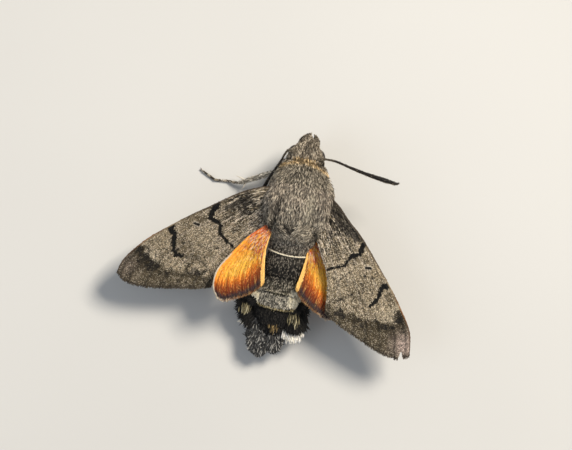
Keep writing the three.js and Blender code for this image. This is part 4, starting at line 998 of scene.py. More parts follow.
# %% Values that the marks leave on the mesh
def wing_values(shape, side, t, w):
    """Distances in millimetres that the wing materials read."""
    plan = wing_plan(shape, t, w)
    values = {
        "plan": np.column_stack([plan, w * 10]),
        "vein": sum(np.exp(-(((w - place) / 0.017) ** 2)) * (t > start) for place, start in shape["veins"]),
    }
    for name, edge in (("rim", "margin"), ("front_edge", "costa"), ("rear_edge", "dorsum")):
        values[name] = line_distance(plan, spline(shape[edge], EDGE_PLACES))
    if "cream" in shape:
        return dict(values, cream=np.full(len(w), shape["cream"][side]))
    # A mark's own width is taken off, which shrinks toward the rear
    for name, lines in MARK_LINES.items():
        values[name] = line_distance(plan, np.array(lines[side])) - np.interp(plan[:, 1], *HALF_WIDTHS)
    dusk_line = np.array(DUSK_LINE[side])
    values["dusk"] = plan[:, 0] - np.interp(plan[:, 1], dusk_line[:, 1], dusk_line[:, 0])
    values["spot"] = line_distance(plan, np.array(SPOT[side]))
    away = np.linalg.norm(plan - APEX_BLOOM["place"], axis=1) / APEX_BLOOM["radius"]
    values["bloom"] = APEX_BLOOM["strength"][side] * np.exp(-away ** 2)
    values["gloom"] = sum(
        strength * np.exp(-((plan[:, 0] - s) ** 2 + 1.6 * (plan[:, 1] - c) ** 2) / radius ** 2)
        for s, c, radius, strength in DARK_BLOTS[side]
    )
    return values

# %% Helpers for painting a wing
def frayed(node, place, per_mm, depth, detail=3.0):
    """Noise from -depth to depth that wears the edge of a mark, so many humps a millimetre."""
    noise = node("TexNoise", Vector=place, Scale=per_mm / MM, Detail=detail)
    return node("MapRange", noise, 0.25, 0.75, -depth, depth)


def streaks(node, out, fan, across, along, detail=3.0):
    """Noise drawn out along the wing: so many streaks a tenth of the fan, so few a millimetre along it."""
    fanned = node("Mapping", node("CombineXYZ", out, fan), Scale=(along, across, 1.0))
    return node("TexNoise", Vector=fanned, Scale=1.0, Detail=detail)


def paint_over(node, paint, *layers):
    """Paints one over the other, each from none at the first of its two values to full at the second."""
    for value, none, full, strength, shade in layers:
        paint = node("Mix", node("MapRange", value, none, full, 0.0, strength), paint, shade)
    return paint


def wing_place(node):
    """Millimetres toward the apex and rearward, and tenths of the fan."""
    return node("SeparateXYZ", node("Attribute", attribute_name="plan", output="Vector")).node.outputs

# %% Material of the forewing: tiled chitin scales, matt grey brown, as fine grit to the eye
def make_forewing_material():
    material, node = new_material("tiled_scales_of_the_forewing")
    place = node("TexCoord", output="Object")
    out, back, fan = wing_place(node)
    dusk, vein, bloom, gloom = read_values(node, "dusk", "vein", "bloom", "gloom")
    spot, edge, rim = read_values(node, "spot", "front_edge", "rim")
    # Ground colour, mottled over 2 mm, with a grit of single scales every 0.3 mm
    cloud = node("TexNoise", Vector=place, Scale=0.45 / MM, Detail=4.0)
    paint = node("ValToRGB", cloud, stops=[(0.3, "#766a55"), (0.5, "#8c7f68"), (0.72, "#a6977d")])
    paint = mottled(node, paint, place, 3 / MM, 2.0, 0.75, 1.3)
    # Streaks along the wing, strong near the root and faint farther out
    streak = streaks(node, out, fan, 2.4, 0.28, 4.0)
    strength = node("MapRange", out, 9.0, 4.0, 0.25, 1.0)
    paint = paint_over(
        node, paint, (streak, 0.5, 0.6, strength, "#d0c4b4"), (streak, 0.47, 0.39, strength, "#2f2a24")
    )
    # Pale ground before the dusky band, near the front edge
    dusk = node("Math ADD", dusk, frayed(node, place, 0.9, 0.75, 5.0))
    dusk = node("MapRange", dusk, -3.0, 5.0)
    pale = node("ValToRGB", dusk, stops=[(0.0, 0.0), (0.14, 0.0), (0.26, 0.55), (0.36, 0.0)])
    pale = node("Math MULTIPLY", pale, node("MapRange", back, 1.8, 0.4))
    paint = node("Mix", pale, paint, "#bcb09a")
    # The dusky band, darkest at its inner edge, and the dark outer field
    dusk = node("ValToRGB", dusk, stops=[
        (0.0, 0.0), (0.29, 0.0), (0.37, 0.88), (0.45, 0.95), (0.55, 0.75), (0.7, 0.67), (1.0, 0.72)
    ])
    dusk = node("Math MULTIPLY", dusk, node("MapRange", back, 0.6, 5.0, 1.0, 0.8))
    paint = node("Mix", dusk, paint, "#2b230f")
    paint = node("Mix", bloom, paint, "#bba89e")
    # Dark blots, drawn out into long streaks near the root
    long_streak = node("MapRange", streaks(node, out, fan, 3.4, 0.16), 0.3, 0.7, -0.75, 0.75)
    long_streak = node("Math MULTIPLY", long_streak, node("MapRange", out, 7.5, 4.5))
    gloom = node("Math ADD", gloom, frayed(node, place, 1.7, 0.75, 4.0))
    gloom = node("MapRange", node("Math ADD", gloom, long_streak), 0.2, 0.6, 0.0, 0.9)
    paint = node("Mix", gloom, paint, "#1b1815")
    # Pale and dark specks, scale by scale; fewer pale ones on the dusky field
    salt = node("MapRange", dusk, 0.0, 1.0, 0.85, 0.18)
    salt = node("Math MULTIPLY", salt, node("MapRange", gloom, 0.0, 1.0, 1.0, 0.15))
    paint = strand_shade(node, paint, 0.02, 2.1, 0.24, "#ece2cd", 0.7, salt)
    ray = node("Math MULTIPLY", node("Math MULTIPLY", vein, dusk), 0.75)
    paint = node("Mix", ray, paint, "#151109")
    # Two black lines and a fine brown one, ragged by single scales
    fray = frayed(node, place, 2.2, 0.2)
    for name, strength in (("inner_line", 1.0), ("outer_line", 1.0), ("fine_line", 0.45)):
        line = node("Math ADD", *read_values(node, name), fray)
        paint = paint_over(node, paint, (line, 0.07, 0.0, strength, "#050403"))
    # Dark spot in a pale ring; front edge a brown rod, rusty before the apex; dark rim
    rod = node("ValToRGB", node("MapRange", out, 0.0, 21.2), stops=[
        (0.0, "#3b3028"), (0.5, "#4d4236"), (0.58, "#9d8d72"), (0.66, "#5a4433"), (0.74, "#8a5f35"),
        (0.84, "#5a4230"), (1.0, "#332a22"),
    ])
    paint = paint_over(
        node, paint, (spot, 0.3, 0.25, 0.75, "#c9bfae"), (spot, 0.2, 0.15, 1.0, "#090807"),
        (edge, 0.2, 0.06, 0.85, rod), (rim, 0.4, 0.15, 0.5, "#2b251e"),
    )
    # A scale's ridges are 0.002 mm apart, too fine to show, so the grain is 0.14 mm
    grain = node("TexNoise", Vector=place, Scale=7 / MM, Detail=1.0)
    finish_scales(node, paint, 0.7, node("Bump", Strength=0.5, Distance=0.04 * MM, Height=grain))
    return material

# %% Material of the hindwing: tiled chitin scales, matt orange in long streaks, hair-like to the eye
def make_hindwing_material():
    material, node = new_material("tiled_scales_of_the_hindwing")
    place = node("TexCoord", output="Object")
    out, back, fan = wing_place(node)
    rim, vein, front, strand, cream = read_values(node, "rim", "vein", "front_edge", "strand", "cream")
    # From the dark margin through orange to yellow, over 6 mm
    streak = streaks(node, out, fan, 5.5, 0.45)
    depth = node("Math ADD", rim, node("MapRange", streak, 0.3, 0.7, -0.55, 0.55))
    paint = node("ValToRGB", node("MapRange", depth, -0.5, 5.5), stops=[
        (0.0, "#33150c"), (0.16, "#45190e"), (0.27, "#6a2a10"), (0.36, "#a84a14"), (0.45, "#ee8e2a"),
        (0.56, "#ffca4e"), (1.0, "#ffd258"),
    ])
    paint = paint_over(node, paint, (streak, 0.54, 0.66, 0.4, "#ffdf84"), (streak, 0.42, 0.3, 0.4, "#e88a2c"))
    vein = node("Math MULTIPLY", vein, node("MapRange", rim, 5.0, 0.5, 0.12, 0.7))
    paint = node("Mix", vein, paint, "#8a4416")
    # Fine dark pleats fan out to the rim, fourteen on the wing, and the orange deepens to the front
    pleat = node("Math SINE", node("Math MULTIPLY", fan, 8.7))
    pleat_strength = node("MapRange", rim, 6.5, 0.8, 0.3, 0.62)
    inland = node("MapRange", rim, 1.2, 3.0, 0.0, 0.65)
    paint = paint_over(
        node, paint, (pleat, 0.2, 0.95, pleat_strength, "#7d3510"), (front, 1.7, 0.3, inland, "#ff9c30")
    )
    # Rosy grey hairs over the root
    haze = node("MapRange", out, 3.6, 1.2, 0.0, 0.7)
    pick = node("Math GREATER_THAN", haze, node("Math FRACT", node("Math MULTIPLY", strand, 7.3)))
    rosy = node("ValToRGB", strand, stops=[(0.3, "#d2642a"), (0.55, "#b4705a"), (0.8, "#dcc0b0")])
    paint = node("Mix", pick, paint, rosy)
    # Narrow dark band before the buff fringe
    band = node("MapRange", rim, 0.0, 1.4)
    band = node("ValToRGB", band, stops=[(0.0, 0.0), (0.12, 0.0), (0.2, 0.9), (0.4, 0.8), (0.62, 0.0)])
    paint = node("Mix", band, paint, "#2d2a2f")
    fringe = node("Mix", node("MapRange", back, 0.4, 1.8), "#cfc2ac", "#8f6c48")
    # Cream strip along the front edge; pale smooth fold along the rear one, set off by a thin groove of
    # painted shade
    strip = node("Math MULTIPLY", node("Math LESS_THAN", front, cream), node("MapRange", out, 4.3, 5.0))
    groove = node("Math ABSOLUTE", node("Math SUBTRACT", fan, 8.9))
    paint = paint_over(
        node, paint, (rim, 0.2, 0.1, 1.0, fringe), (strip, 0.0, 1.0, 1.0, "#cabda9"),
        (fan, 8.95, 9.05, 0.85, "#ffce78"), (groove, 0.16, 0.08, 0.75, "#54301c"),
    )
    salt = node("MapRange", rim, 1.2, 3.5)
    paint = strand_shade(node, paint, 0.9, 1.42, 0.1, "#ffe6a0", 0.92, salt)
    grain = node("TexNoise", Vector=place, Scale=7 / MM, Detail=1.0)
    finish_scales(node, paint, 0.6, node("Bump", Strength=0.4, Distance=0.04 * MM, Height=grain))
    return material


forewing_material = make_forewing_material()
hindwing_material = make_hindwing_material()
for material in (forewing_material, hindwing_material):
    print(material.name, "has", len(material.node_tree.nodes), "nodes")

# %% [markdown]
# ## Membranes, tiles and fringes
# The bare sheet comes first: an upper and a lower face on the same grid, closed by a rim. The
# scales follow in rows across the fan, each a small tile that overlaps the next row. Near the
# root they grow long and hair-like. The fringe is a single row of longer scales on the margin.

# %% Membranes
PLAN_CORNER, PLAN_SIZE = [-1.6, -2.4], 24.0


def wing_uv(shape, t, w):
    """Unwrap of a wing: its own plan, shrunk to the unit square."""
    return (wing_plan(shape, t, w) - PLAN_CORNER) / PLAN_SIZE


def membrane(name, shape, pose, material, rows=110, columns=80):
    """Upper and lower face on one grid of places, joined by a strip round the rim."""
    t, w = np.meshgrid(np.linspace(0, 1, rows), np.linspace(0, 1, columns), indexing="ij")
    t, w = t.ravel(), w.ravel()
    points = np.concatenate([wing_surface(shape, pose, layer, t, w) for layer in (1, -1)])
    number = np.arange(rows * columns).reshape(rows, columns)
    quads = np.stack([number[:-1, :-1], number[1:, :-1], number[1:, 1:], number[:-1, 1:]], axis=-1)
    quads = quads.reshape(-1, 4)
    rim = np.concatenate([number[0, :], number[1:, -1], number[-1, -2::-1], number[-2:0:-1, 0]])
    after = np.roll(rim, -1)
    below = rows * columns
    strip = np.stack([rim, after, after + below, rim + below], axis=-1)
    faces = [quads, quads[:, ::-1] + below, strip]
    if pose[0] < 0:  # mirrored, so its faces are turned round
        faces = [block[:, ::-1] for block in faces]
    values = {key: np.concatenate([value, value]) for key, value in wing_values(shape, pose[0], t, w).items()}
    values["strand"], values["reach"] = np.full(2 * below, 0.35), np.full(2 * below, 0.5)
    new_piece(name + "_membrane", points, faces, material, values, replaced=(name,))


def wing_frame(shape, pose, layer, t, w):
    """Frame of a wing's face: along the fan, across it, and out of the face."""
    point, along, around, out = surface_frame(partial(wing_surface, shape, pose, layer), t, w)
    return point, along, around, out * np.sign(out[:, 2:] * layer)

# %% Scales and fringe of a wing
UNDER_COARSER = 1.9  # scales of the lower face are this much wider and fewer
FRINGE_GAP = 0.035
NICK_BARE = 1.6  # the fringe is missing over this many widths of the nick
FRINGE_STYLE = {
    "length": 0.36, "width": 0.085, "lift": 0.0, "curl": 0.03, "lay_spread": 0.05, "length_spread": 0.1,
    "swerve": 0.04, "taper": SPATULA, "thick": 0.3, "sink": 0.0,
}


def add_wing(name, shape, material, row_step, spacing, tile):
    pose = WING_POSES[name]
    membrane(name, shape, pose, material)
    reach = shape["costa"][-1][0]

    def chord(t):
        across = wing_plan(shape, t, np.zeros_like(t)) - wing_plan(shape, t, np.ones_like(t))
        return np.linalg.norm(across, axis=1)

    for layer, coarser in ((1, 1.0), (-1, UNDER_COARSER)):
        t, w = scatter_rows(0.06, 0.995, coarser * row_step / reach, coarser * spacing, chord)
        values = wing_values(shape, pose[0], t, w)
        root_hair = smoothstep(5.0, 1.0, values["plan"][:, 0])
        edges = ("front_edge", "rim") + (("rear_edge",) if "cream" in shape else ())
        # Short flat scales at the wing's edges, and full ones half a millimetre inland
        inland = smoothstep(0.05, 0.5, np.min([values[edge] for edge in edges], axis=0))
        style = dict(
            tile, length=tile["length"] + (0.55 * root_hair - 0.08) * inland,
            width=tile["width"] * coarser * (0.7 + 0.3 * inland) * (1 - 0.2 * root_hair),
            lift=0.04 + (0.08 + 0.14 * root_hair) * inland,
            lay_spread=0.02 + (0.12 + 0.08 * root_hair) * inland,
        )
        coat = name + ("_scales" if layer > 0 else "_under_scales")
        place_frame = wing_frame(shape, pose, layer, t, w)
        grow_coat(coat, place_frame, 0.0, style, material, values, wing_uv(shape, t, w))
    # Fringe along the outer margin: short and even
    margin = spline(shape["margin"], EDGE_PLACES)
    count = int(np.linalg.norm(np.diff(margin, axis=0), axis=1).sum() / FRINGE_GAP)
    w = (np.arange(count) + rng.random(count)) / count
    if "nick" in shape:
        w = w[np.abs(w - shape["nick"][0]) > NICK_BARE * shape["nick"][1]]
    t = 0.982 + 0.014 * rng.random(len(w))
    values = dict(wing_values(shape, pose[0], t, w), rim=0.3 * rng.random(len(w)))
    place_frame = wing_frame(shape, pose, 0.3, t, w)
    grow_coat(name + "_fringe", place_frame, 0.0, FRINGE_STYLE, material, values, wing_uv(shape, t, w))


WING_TILE = {"curl": 0.04, "swerve": 0.05, "sink": 0.03}
grey_tile = dict(WING_TILE, length=0.24, width=0.115, taper=TILE, thick=0.16)
orange_tile = dict(WING_TILE, length=0.45, width=0.095, taper=HAIR, thick=0.2)
for name, shape in (("forewing_left", FOREWING), ("forewing_right", WORN_FOREWING)):
    add_wing(name, shape, forewing_material, 0.134, 0.0978, grey_tile)
for name in ("hindwing_left", "hindwing_right"):
    add_wing(name, HINDWING, hindwing_material, 0.14, 0.07, orange_tile)

# %% [markdown]
# ## Eyes, palps and tongue
# The eyes are large dark domes, glossy, with thousands of facets too fine to see singly. Between
# them two furry palps curve up to the tip of the snout, white below, and shelter the tongue. The
# tongue is a tube longer than the body, and at rest it is coiled like a watch spring.

# %% Eyes: clear cornea over dark pigment, glossy, broken up by facets
def make_eye_material():
    """Facets are 0.06 mm here, three times as wide as real ones, which wouldn't show."""
    material, node = new_material("faceted_eye")
    place = node("TexCoord", output="Object")
    facets = node("TexVoronoi", Vector=place, Scale=16 / MM)
    bump = node("Bump", Strength=0.3, Distance=0.02 * MM, Height=facets, invert=True)
    # Dark pigment, with amber patches from the noise that are painted glints of the facets
    cloud = node("TexNoise", Vector=place, Scale=0.9 / MM)
    shader = node(
        "BsdfPrincipled", Roughness=0.32, IOR=1.5, Specular_IOR_Level=0.22, Coat_Weight=0.12,
        Coat_Roughness=0.06, Normal=bump,
        Base_Color=node("ValToRGB", cloud, stops=[(0.35, "#120c08"), (0.6, "#2a1a0d"), (0.8, "#4a2f14")]),
    )
    node("OutputMaterial", Surface=shader)
    return material


def eye_surface(middle, u, v):
    """Sphere with its poles front and rear: radius times (sin pi u, cos pi u)."""
    ring = np.stack([np.sin(v), 0 * v, np.cos(v)], axis=-1) * np.sin(np.pi * u)[..., None]
    pole = np.stack([0 * u, -np.cos(np.pi * u), 0 * u], axis=-1)
    return middle + EYE["radius"] * (ring + pole)


eye_material = make_eye_material()
for side_name, side in SIDES.items():
    dome = partial(eye_surface, np.array([side * EYE["x"], EYE["y"], EYE["z"]]))
    points, faces = closed_grid(dome, np.linspace(0.01, 0.99, 40), 2 * np.pi * np.arange(64) / 64)
    new_piece(f"eye_dome_{side_name}", points, faces, eye_material, {}, replaced=(f"eye_{side_name}",))

# %% Palps: scaled, whitish below and grey above
PALP_POINTS = {  # their tips lean a little to the moth's right
    "left": [[0.95, -6.4, 3.45], [1.0, -7.3, 3.5], [0.82, -8.2, 4.3], [0.3, -8.78, 5.2], [0.0, -9.1, 5.75]],
    "right": [[-0.95, -6.4, 3.45], [-1.0, -7.3, 3.5], [-0.95, -8.15, 4.3], [-0.7, -8.7, 5.2],
              [-0.48, -8.97, 5.75]],
}
PALP_RADII = ([0.0, 0.03, 0.25, 0.5, 0.8, 0.97, 1.0], [0.1, 0.28, 0.4, 0.38, 0.28, 0.1, 0.02])  # with hair


def tube_coat(name, surface, radius_at, rows, spacing, style, material, values_at):
    """Coat on a tube. Its rows run round it from, to and every so many shares of its length."""
    u, share = scatter_rows(*rows, spacing, lambda u: 2 * np.pi * radius_at(u))
    place_frame = surface_frame(surface, u, 2 * np.pi * share)
    values, uv_place = values_at(u, place_frame), np.stack([u, share], axis=-1)
    grow_coat(name, place_frame, 0.0, style, material, values, uv_place)


def facing_out(surface, u, v):
    """Direction out of a tube, also at its closed ends."""
    return surface_frame(surface, np.clip(u, 0.01, 0.99), v)[3]


def palp_radius(u):
    return np.interp(u, *PALP_RADII)


def palp_values(out, y):
    """As the body's, by where the surface faces."""
    return {"along_body": body_place(y), "around_body": np.arccos(np.clip(out[:, 2], -1, 1))}


for side_name, palp_points in PALP_POINTS.items():
    surface = tube(palp_points, lambda u: 0.8 * palp_radius(u), np.array([0.0, -0.6, 0.8]))
    skin(
        f"palp_core_{side_name}", surface, np.linspace(0, 1, 40), 20, body_material,
        lambda u, v: palp_values(facing_out(surface, u, v), surface(u, v)[:, 1]), (f"palp_{side_name}",),
    )
    tube_coat(
        f"palp_hair_{side_name}", surface, palp_radius, (0.02, 0.97, 0.1 / 4.0), 0.09,
        {"length": 0.3, "width": 0.09, "lift": 0.35, "lay_spread": 0.18, "thick": 0.45}, body_material,
        lambda u, frame_at: palp_values(frame_at[3], frame_at[0][:, 1]),
    )

# %% Tongue: bare brown chitin, half glossy, finely ringed
TONGUE = {"y": -7.25, "z": 2.6, "outer": 1.12, "inner": 0.22, "turns": 3.4, "start": 75.0}


def make_tongue_material():
    """Some 200 rings on the 15 mm of the coil; real ones are too fine to show."""
    material, node = new_material("brown_chitin_of_the_tongue")
    along, = read_values(node, "along_tongue")
    ring = node("Math SINE", node("Math MULTIPLY", along, 1300.0))
    shader = node(
        "BsdfPrincipled", Roughness=0.4, IOR=CHITIN,
        Base_Color=node("ValToRGB", along, stops=[(0.0, "#4a3220"), (1.0, "#2a1c12")]),
        Normal=node("Bump", Strength=0.35, Distance=0.02 * MM, Height=ring),
    )
    node("OutputMaterial", Surface=shader)
    return material


def tongue_curve():
    """Spiral in the middle plane, its radius shrinking evenly with the angle, led up to the mouth."""
    turn = np.linspace(0, 2 * np.pi * TONGUE["turns"], 90)
    radius = TONGUE["outer"] + (TONGUE["inner"] - TONGUE["outer"]) * turn / turn[-1]
    angle = np.radians(TONGUE["start"]) - turn
    y, z = TONGUE["y"] - radius * np.cos(angle), TONGUE["z"] + radius * np.sin(angle)
    return np.concatenate([[[0.0, -6.9, 4.5], [0.0, -7.2, 4.1]], np.stack([0 * turn, y, z], axis=-1)])


surface = tube(
    tongue_curve(), lambda u: np.interp(u, [0, 0.02, 0.97, 1.0], [0.1, 0.15, 0.075, 0.01]),
    np.array([1.0, 0.0, 0.0]),
)
skin(
    "coiled_tongue", surface, np.linspace(0, 1, 320), 12, make_tongue_material(),
    lambda u, v: {"along_tongue": u}, ("proboscis",),
)

# %% [markdown]
# ## Feelers
# The feelers thicken into a club and end in a small hook. Their rings are too fine to count from
# above, but they make the lower edge look toothed. The base is thin and pale, the club nearly
# black.

# %% Paths and paint of the feelers
ANTENNA_POINTS = {
    "left": [[1.3, -6.2, 7.05], [2.2, -6.5, 7.0], [2.65, -5.95, 6.7], [2.95, -5.0, 6.2], [3.55, -3.6, 5.4],
             [4.1, -2.2, 4.75], [4.5, -0.6, 4.4], [4.8, 1.2, 4.3], [5.05, 2.8, 4.3]],
    "right": [[-1.3, -6.1, 7.05], [-2.73, -6.3, 7.3], [-4.05, -6.22, 7.45], [-5.74, -5.87, 7.6],
              [-7.43, -5.57, 7.7], [-9.1, -5.35, 7.75], [-11.5, -5.12, 7.6]],
}
ANTENNA_RINGS = 58
ANTENNA_STYLE = {
    "length": 0.24, "width": 0.1, "lift": 0.16, "curl": 0.04, "lay_spread": 0.08, "taper": TILE, "thick": 0.2,
    "sink": 0.02,
}


def make_antenna_material():
    """Scaled chitin, a little smoother than the wings: pale at the base, nearly black on the club."""
    material, node = new_material("scaled_rings_of_the_antenna")
    along, facing = read_values(node, "along_antenna", "facing")
    paint = node("ValToRGB", along, stops=[
        (0.0, "#766d5e"), (0.12, "#5f574a"), (0.22, "#2f2923"), (0.42, "#201b17"), (0.85, "#151210"),
        (1.0, "#241c16"),
    ])
    paint = paint_over(node, paint, (facing, 0.1, -0.3, 0.9, "#9c8f7a"))
    finish_scales(node, strand_shade(node, paint, 0.7, 1.2, 0.1, "#8f8371"), 0.5)
    return material

# %% The feelers' rods and scales
def antenna_radius(u):
    """Thin stalk to a club, fullest at 0.83, with a slight step at every ring."""
    places = [0, 0.02, 0.07, 0.12, 0.4, 0.83, 0.94, 0.985, 1.0]
    base = np.interp(u, places, [0.14, 0.19, 0.18, 0.11, 0.15, 0.28, 0.21, 0.1, 0.02])
    return base * (1 + 0.05 * ((u * ANTENNA_RINGS) % 1.0 - 0.5))


def antenna_values(u, out):
    return {"along_antenna": np.clip(u, 0, 1), "facing": out[:, 2] - 0.9 * out[:, 1]}


antenna_material = make_antenna_material()
for side_name, points in ANTENNA_POINTS.items():
    points = np.array(points)
    tip = points[-1] - points[-2]
    sideways = unit(np.array([tip[1], -tip[0], 0.0]) * SIDES[side_name])
    hook = points[-1] + 0.3 * unit(tip) + 0.28 * sideways + [0, 0, 0.05]
    points = np.concatenate([points, [hook]])
    surface = tube(points, antenna_radius, np.array([0.0, 0.0, 1.0]))
    skin(
        f"antenna_rod_{side_name}", surface, np.linspace(0, 1, 6 * ANTENNA_RINGS), 16, antenna_material,
        lambda u, v: antenna_values(u, facing_out(surface, u, v)), (f"antenna_{side_name}",),
    )
    rows = (0.01, 0.985, 0.2 / dense_curve(points)[1][-1])
    tube_coat(
        f"antenna_scales_{side_name}", surface, antenna_radius, rows, 0.11, ANTENNA_STYLE, antenna_material,
        lambda u, frame_at: antenna_values(u, frame_at[3]),
    )

# %% [markdown]
# ## Legs
# A leg has a stout thigh, a shin with spurs, and a foot of five joints that ends in two claws. It
# is drawn as one tube through the joints, its radius following a table, with flat scales on it
# that get smaller toward the foot. The foot's joints are ringed dark and pale.

# %% Where the legs stand
# Hip, knee and ankle, then the foot's bends on the floor, all as if on the left
LEGS = {
    "foreleg_left": ([[0.95, -3.3, 3.3], [2.0, -4.6, 3.5], [1.9, -6.0, 0.95]], [[1.6, -6.9], [1.05, -8.1]]),
    "foreleg_right": ([[0.95, -3.3, 3.3], [2.0, -4.7, 3.5], [1.8, -6.1, 0.95]], [[1.45, -7.0], [0.75, -8.15]]),
    "midleg_left": (
        [[1.5, -1.0, 2.6], [3.2, -3.5, 3.5], [7.4, -1.35, 0.95]], [[9.0, -1.2], [10.6, -1.05], [12.6, -1.9]]
    ),
    "midleg_right": (
        [[1.5, -0.9, 2.6], [4.0, 0.5, 3.7], [7.2, 3.5, 0.95]], [[8.5, 4.9], [9.7, 6.2], [10.9, 7.9]]
    ),
    "hindleg_left": (
        [[1.3, 1.9, 2.8], [3.7, 4.0, 3.6], [5.0, 8.6, 0.95]], [[5.3, 10.2], [5.5, 11.6], [5.5, 12.9]]
    ),
    "hindleg_right": (
        [[1.3, 1.9, 2.8], [3.8, 3.9, 3.4], [5.3, 8.3, 0.95]], [[5.8, 9.8], [6.2, 11.3], [6.5, 12.8]]
    ),
}
SPURS = {"foreleg": [], "midleg": [0.84], "hindleg": [0.5, 0.84]}  # as shares of the shin
FOOT_HEIGHT = 0.2  # middle of the foot over the floor
FOOT_JOINTS = 5
LEG_RADII = [0.1, 0.26, 0.36, 0.24, 0.2, 0.25, 0.2, 0.15, 0.11, 0.03]
LEG_TENSION = 0.25
LEG_SCALES = {"curl": 0.1, "lay_spread": 0.12, "taper": TILE, "sink": 0.03}
SPUR = {"length": 1.4, "shorter": 0.95, "radius": 0.12, "splay": 1.1}
CLAW = {"length": 0.4, "radius": 0.055, "splay": 0.5, "bend": 1.6}

# %% Materials of the legs: matt scales, and bare horn on the claws
def make_leg_material():
    """Flat chitin scales, whitish on thigh and shin, in dark and pale rings on the foot."""
    material, node = new_material("scaled_leg")
    foot, = read_values(node, "along_foot")
    joint = node("Math FRACT", node("Math MULTIPLY", foot, float(FOOT_JOINTS)))
    ring = node("ValToRGB", joint, stops=[
        (0.0, "#3b332b"), (0.62, "#4c4237"), (0.78, "#b3a792"), (1.0, "#c4b9a4")
    ])
    paint = node("Mix", node("Math GREATER_THAN", foot, 0.001), "#c9c1b1", ring)
    finish_scales(node, strand_shade(node, paint, 0.3, 1.5, 0.35, "#f3ecdf"), 0.65)
    return material


def make_horn_material():
    """Bare amber chitin of the claws, hard and half glossy."""
    material, node = new_material("amber_chitin")
    node("OutputMaterial", Surface=node("BsdfPrincipled", Base_Color="#3a2414", Roughness=0.35, IOR=CHITIN))
    return material


leg_material = make_leg_material()
horn_material = make_horn_material()
spur_material = bunch_material("pale_spur", "#f1ebdd", 0.9, 1.1, "#ffffff", 0.3)

# %% Legs, spurs and claws
def plane_normal(points):
    """Direction in which the points spread least, turned upward."""
    normal = np.linalg.svd(points - points.mean(axis=0))[2][-1]
    return normal * np.where(normal[2] < 0, -1.0, 1.0)


def spike(name, start, direction, length, thickest, bend, material):
    """Slim cone that bends toward one side, closed at both ends."""
    middle = start + direction * length * 0.55 + bend * length * 0.06
    points = np.array([start, middle, start + direction * length + bend * length * 0.22])
    upright = unit(np.cross(direction, [0.3, 0.5, 0.81]))
    places, radii = [0, 0.08, 0.5, 1.0], [0.6, 1.0, 0.75, 0.06]
    surface = tube(points, lambda u: thickest * np.interp(u, places, radii), upright)
    skin(name, surface, np.linspace(0, 1, 14), 10, material, lambda u, v: {})


def add_leg(name):
    kind, side_name = name.split("_")
    joints, foot = LEGS[name]
    points = np.array(joints + [[x, y, FOOT_HEIGHT] for x, y in foot]) * [SIDES[side_name], 1, 1]
    length = dense_curve(points, LEG_TENSION)[1]
    whole = length[-1]
    knee, ankle = length[STEPS] / whole, length[2 * STEPS] / whole
    places = [
        0, 0.05 * knee, 0.4 * knee, 0.93 * knee, knee, knee + 0.35 * (ankle - knee), ankle - 0.03,
        ankle + 0.01, 0.97, 1.0,
    ]

    def foot_share(u):
        return np.clip((u - ankle) / (1 - ankle), 0, 1)

    def radius_at(u):
        swell = 0.12 * np.where(u > ankle, (foot_share(u) * FOOT_JOINTS) % 1.0 - 0.5, 0.0)
        return np.interp(u, places, LEG_RADII) * (1 + swell)

    def values_at(u, _):
        return {"along_foot": foot_share(u)}

    surface = tube(points, radius_at, plane_normal(points[:4]), LEG_TENSION)
    nodes = (f"{name}_femur", f"{name}_tibia", f"{name}_tarsus")
    skin(name + "_skin", surface, np.linspace(0, 1, 150), 16, leg_material, values_at, nodes)
    for part, start, end, style in (
        ("shin_scales", 0.02, ankle, {"length": 0.42, "width": 0.14, "lift": 0.3, "thick": 0.3}),
        ("foot_scales", ankle - 0.01, 0.975, {"length": 0.26, "width": 0.1, "lift": 0.2, "thick": 0.25}),
    ):
        tube_coat(
            f"{name}_{part}", surface, radius_at, (start, end, 0.17 / whole), 0.12, dict(LEG_SCALES, **style),
            leg_material, values_at,
        )
    for number, place in enumerate(SPURS[kind]):
        u = np.array([knee + place * (ankle - knee)])
        start = spline(points, u, LEG_TENSION)[0]
        ahead = unit(spline(points, u + 0.01, LEG_TENSION) - spline(points, u - 0.01, LEG_TENSION))[0]
        across = unit(np.cross(ahead, [0, 0, 1.0]))
        for letter, turn, reach in (("a", 1, SPUR["length"]), ("b", -1, SPUR["length"] * SPUR["shorter"])):
            spur = f"{name}_spur_{number}_{letter}"
            direction = unit(ahead + turn * SPUR["splay"] * across)
            spike(spur, start, direction, reach, SPUR["radius"], ahead, spur_material)
    tip = spline(points, np.array([0.99, 1.0]), LEG_TENSION)
    ahead = unit(tip[1] - tip[0])
    across = np.array([ahead[1], -ahead[0], 0.0])
    bend = np.array([0.0, 0.0, -1.0]) * CLAW["bend"]
    for letter, turn in (("a", 1), ("b", -1)):
        direction = unit(ahead + CLAW["splay"] * turn * across)
        spike(f"{name}_claw_{letter}", tip[0], direction, CLAW["length"], CLAW["radius"], bend, horn_material)


for leg in LEGS:
    add_leg(leg)

# %% [markdown]
# ## Floor, light and camera
# The camera looks straight down, turned so that the moth lies as in the photograph. A long lens
# keeps the small animal free of perspective. A large soft lamp stands where the sun stood, to
# the upper right of the picture, and a pale surround fills the shadows.

# %% Studio
VIEW_CENTRE = (0.70, 2.69, 6.0)  # point of the moth in the middle of the picture
VIEW_WIDTH = 71.06  # millimetres across the picture
VIEW_TURN = 192.0  # degrees
CAMERA_HEIGHT = 450.0
SENSOR = 36.0
FLOOR_HALF = 1.5  # metres


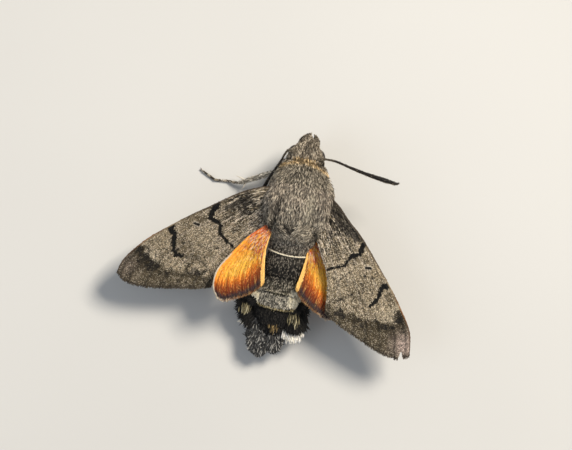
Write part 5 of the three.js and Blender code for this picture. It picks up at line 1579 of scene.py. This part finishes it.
def make_floor():
    """Pale paper, matt, with a faint cloudiness every 17 mm, on a square under the moth."""
    material, node = new_material("matt_pale_paper")
    paper = node("TexNoise", Scale=0.06 / MM, Detail=2.0)
    shade = node("ValToRGB", paper, stops=[(0.3, "#c6c7c6"), (0.7, "#cacbca")])
    node("OutputMaterial", Surface=node("BsdfPrincipled", Base_Color=shade, Roughness=0.9))
    mesh = bpy.data.meshes.new("floor")
    corners = [(FLOOR_HALF * x, FLOOR_HALF * y, 0) for x, y in ((-1, -1), (1, -1), (1, 1), (-1, 1))]
    mesh.from_pydata(corners, [], [(0, 1, 2, 3)])
    mesh.materials.append(material)
    floor = bpy.data.objects.new("floor", mesh)
    bpy.context.scene.collection.objects.link(floor)


def add_lamp(name, direction, distance, size, power, shade):
    """Square lamp that faces the moth from a direction, at a distance in metres."""
    data = bpy.data.lights.new(name, "AREA")
    data.size, data.energy, data.color = size, power, colour(shade)[:3]
    lamp = bpy.data.objects.new(name, data)
    toward = unit(np.array(direction, float))
    lamp.location = toward * distance
    lamp.rotation_mode = "QUATERNION"
    lamp.rotation_quaternion = type(lamp.location)(toward).to_track_quat("Z", "Y")
    bpy.context.scene.collection.objects.link(lamp)


make_floor()
add_lamp("key_lamp", (-0.75, -0.95, 1.25), 0.7, 0.22, 7.0, "#fff4e4")
add_lamp("fill_lamp", (1.0, 0.4, 0.9), 0.8, 0.6, 1.2, "#f0f5ff")
world = bpy.data.worlds.new("surround")
world.use_nodes = True
surround = world.node_tree.nodes["Background"].inputs
surround["Color"].default_value = colour("#e9edf2")
surround["Strength"].default_value = 0.4
bpy.context.scene.world = world
bpy.context.scene.view_settings.view_transform = "Standard"

camera_data = bpy.data.cameras.new("camera")
camera_data.sensor_width = SENSOR
camera_data.lens = SENSOR * (CAMERA_HEIGHT - VIEW_CENTRE[2]) / VIEW_WIDTH
camera_data.clip_start = 0.01
camera = bpy.data.objects.new("camera", camera_data)
camera.location = to_frame([VIEW_CENTRE[0], VIEW_CENTRE[1], CAMERA_HEIGHT])
camera.rotation_euler = (0, 0, np.radians(VIEW_TURN))
bpy.context.scene.collection.objects.link(camera)
bpy.context.scene.camera = camera
print("lens", round(camera_data.lens), "mm at", CAMERA_HEIGHT, "mm")
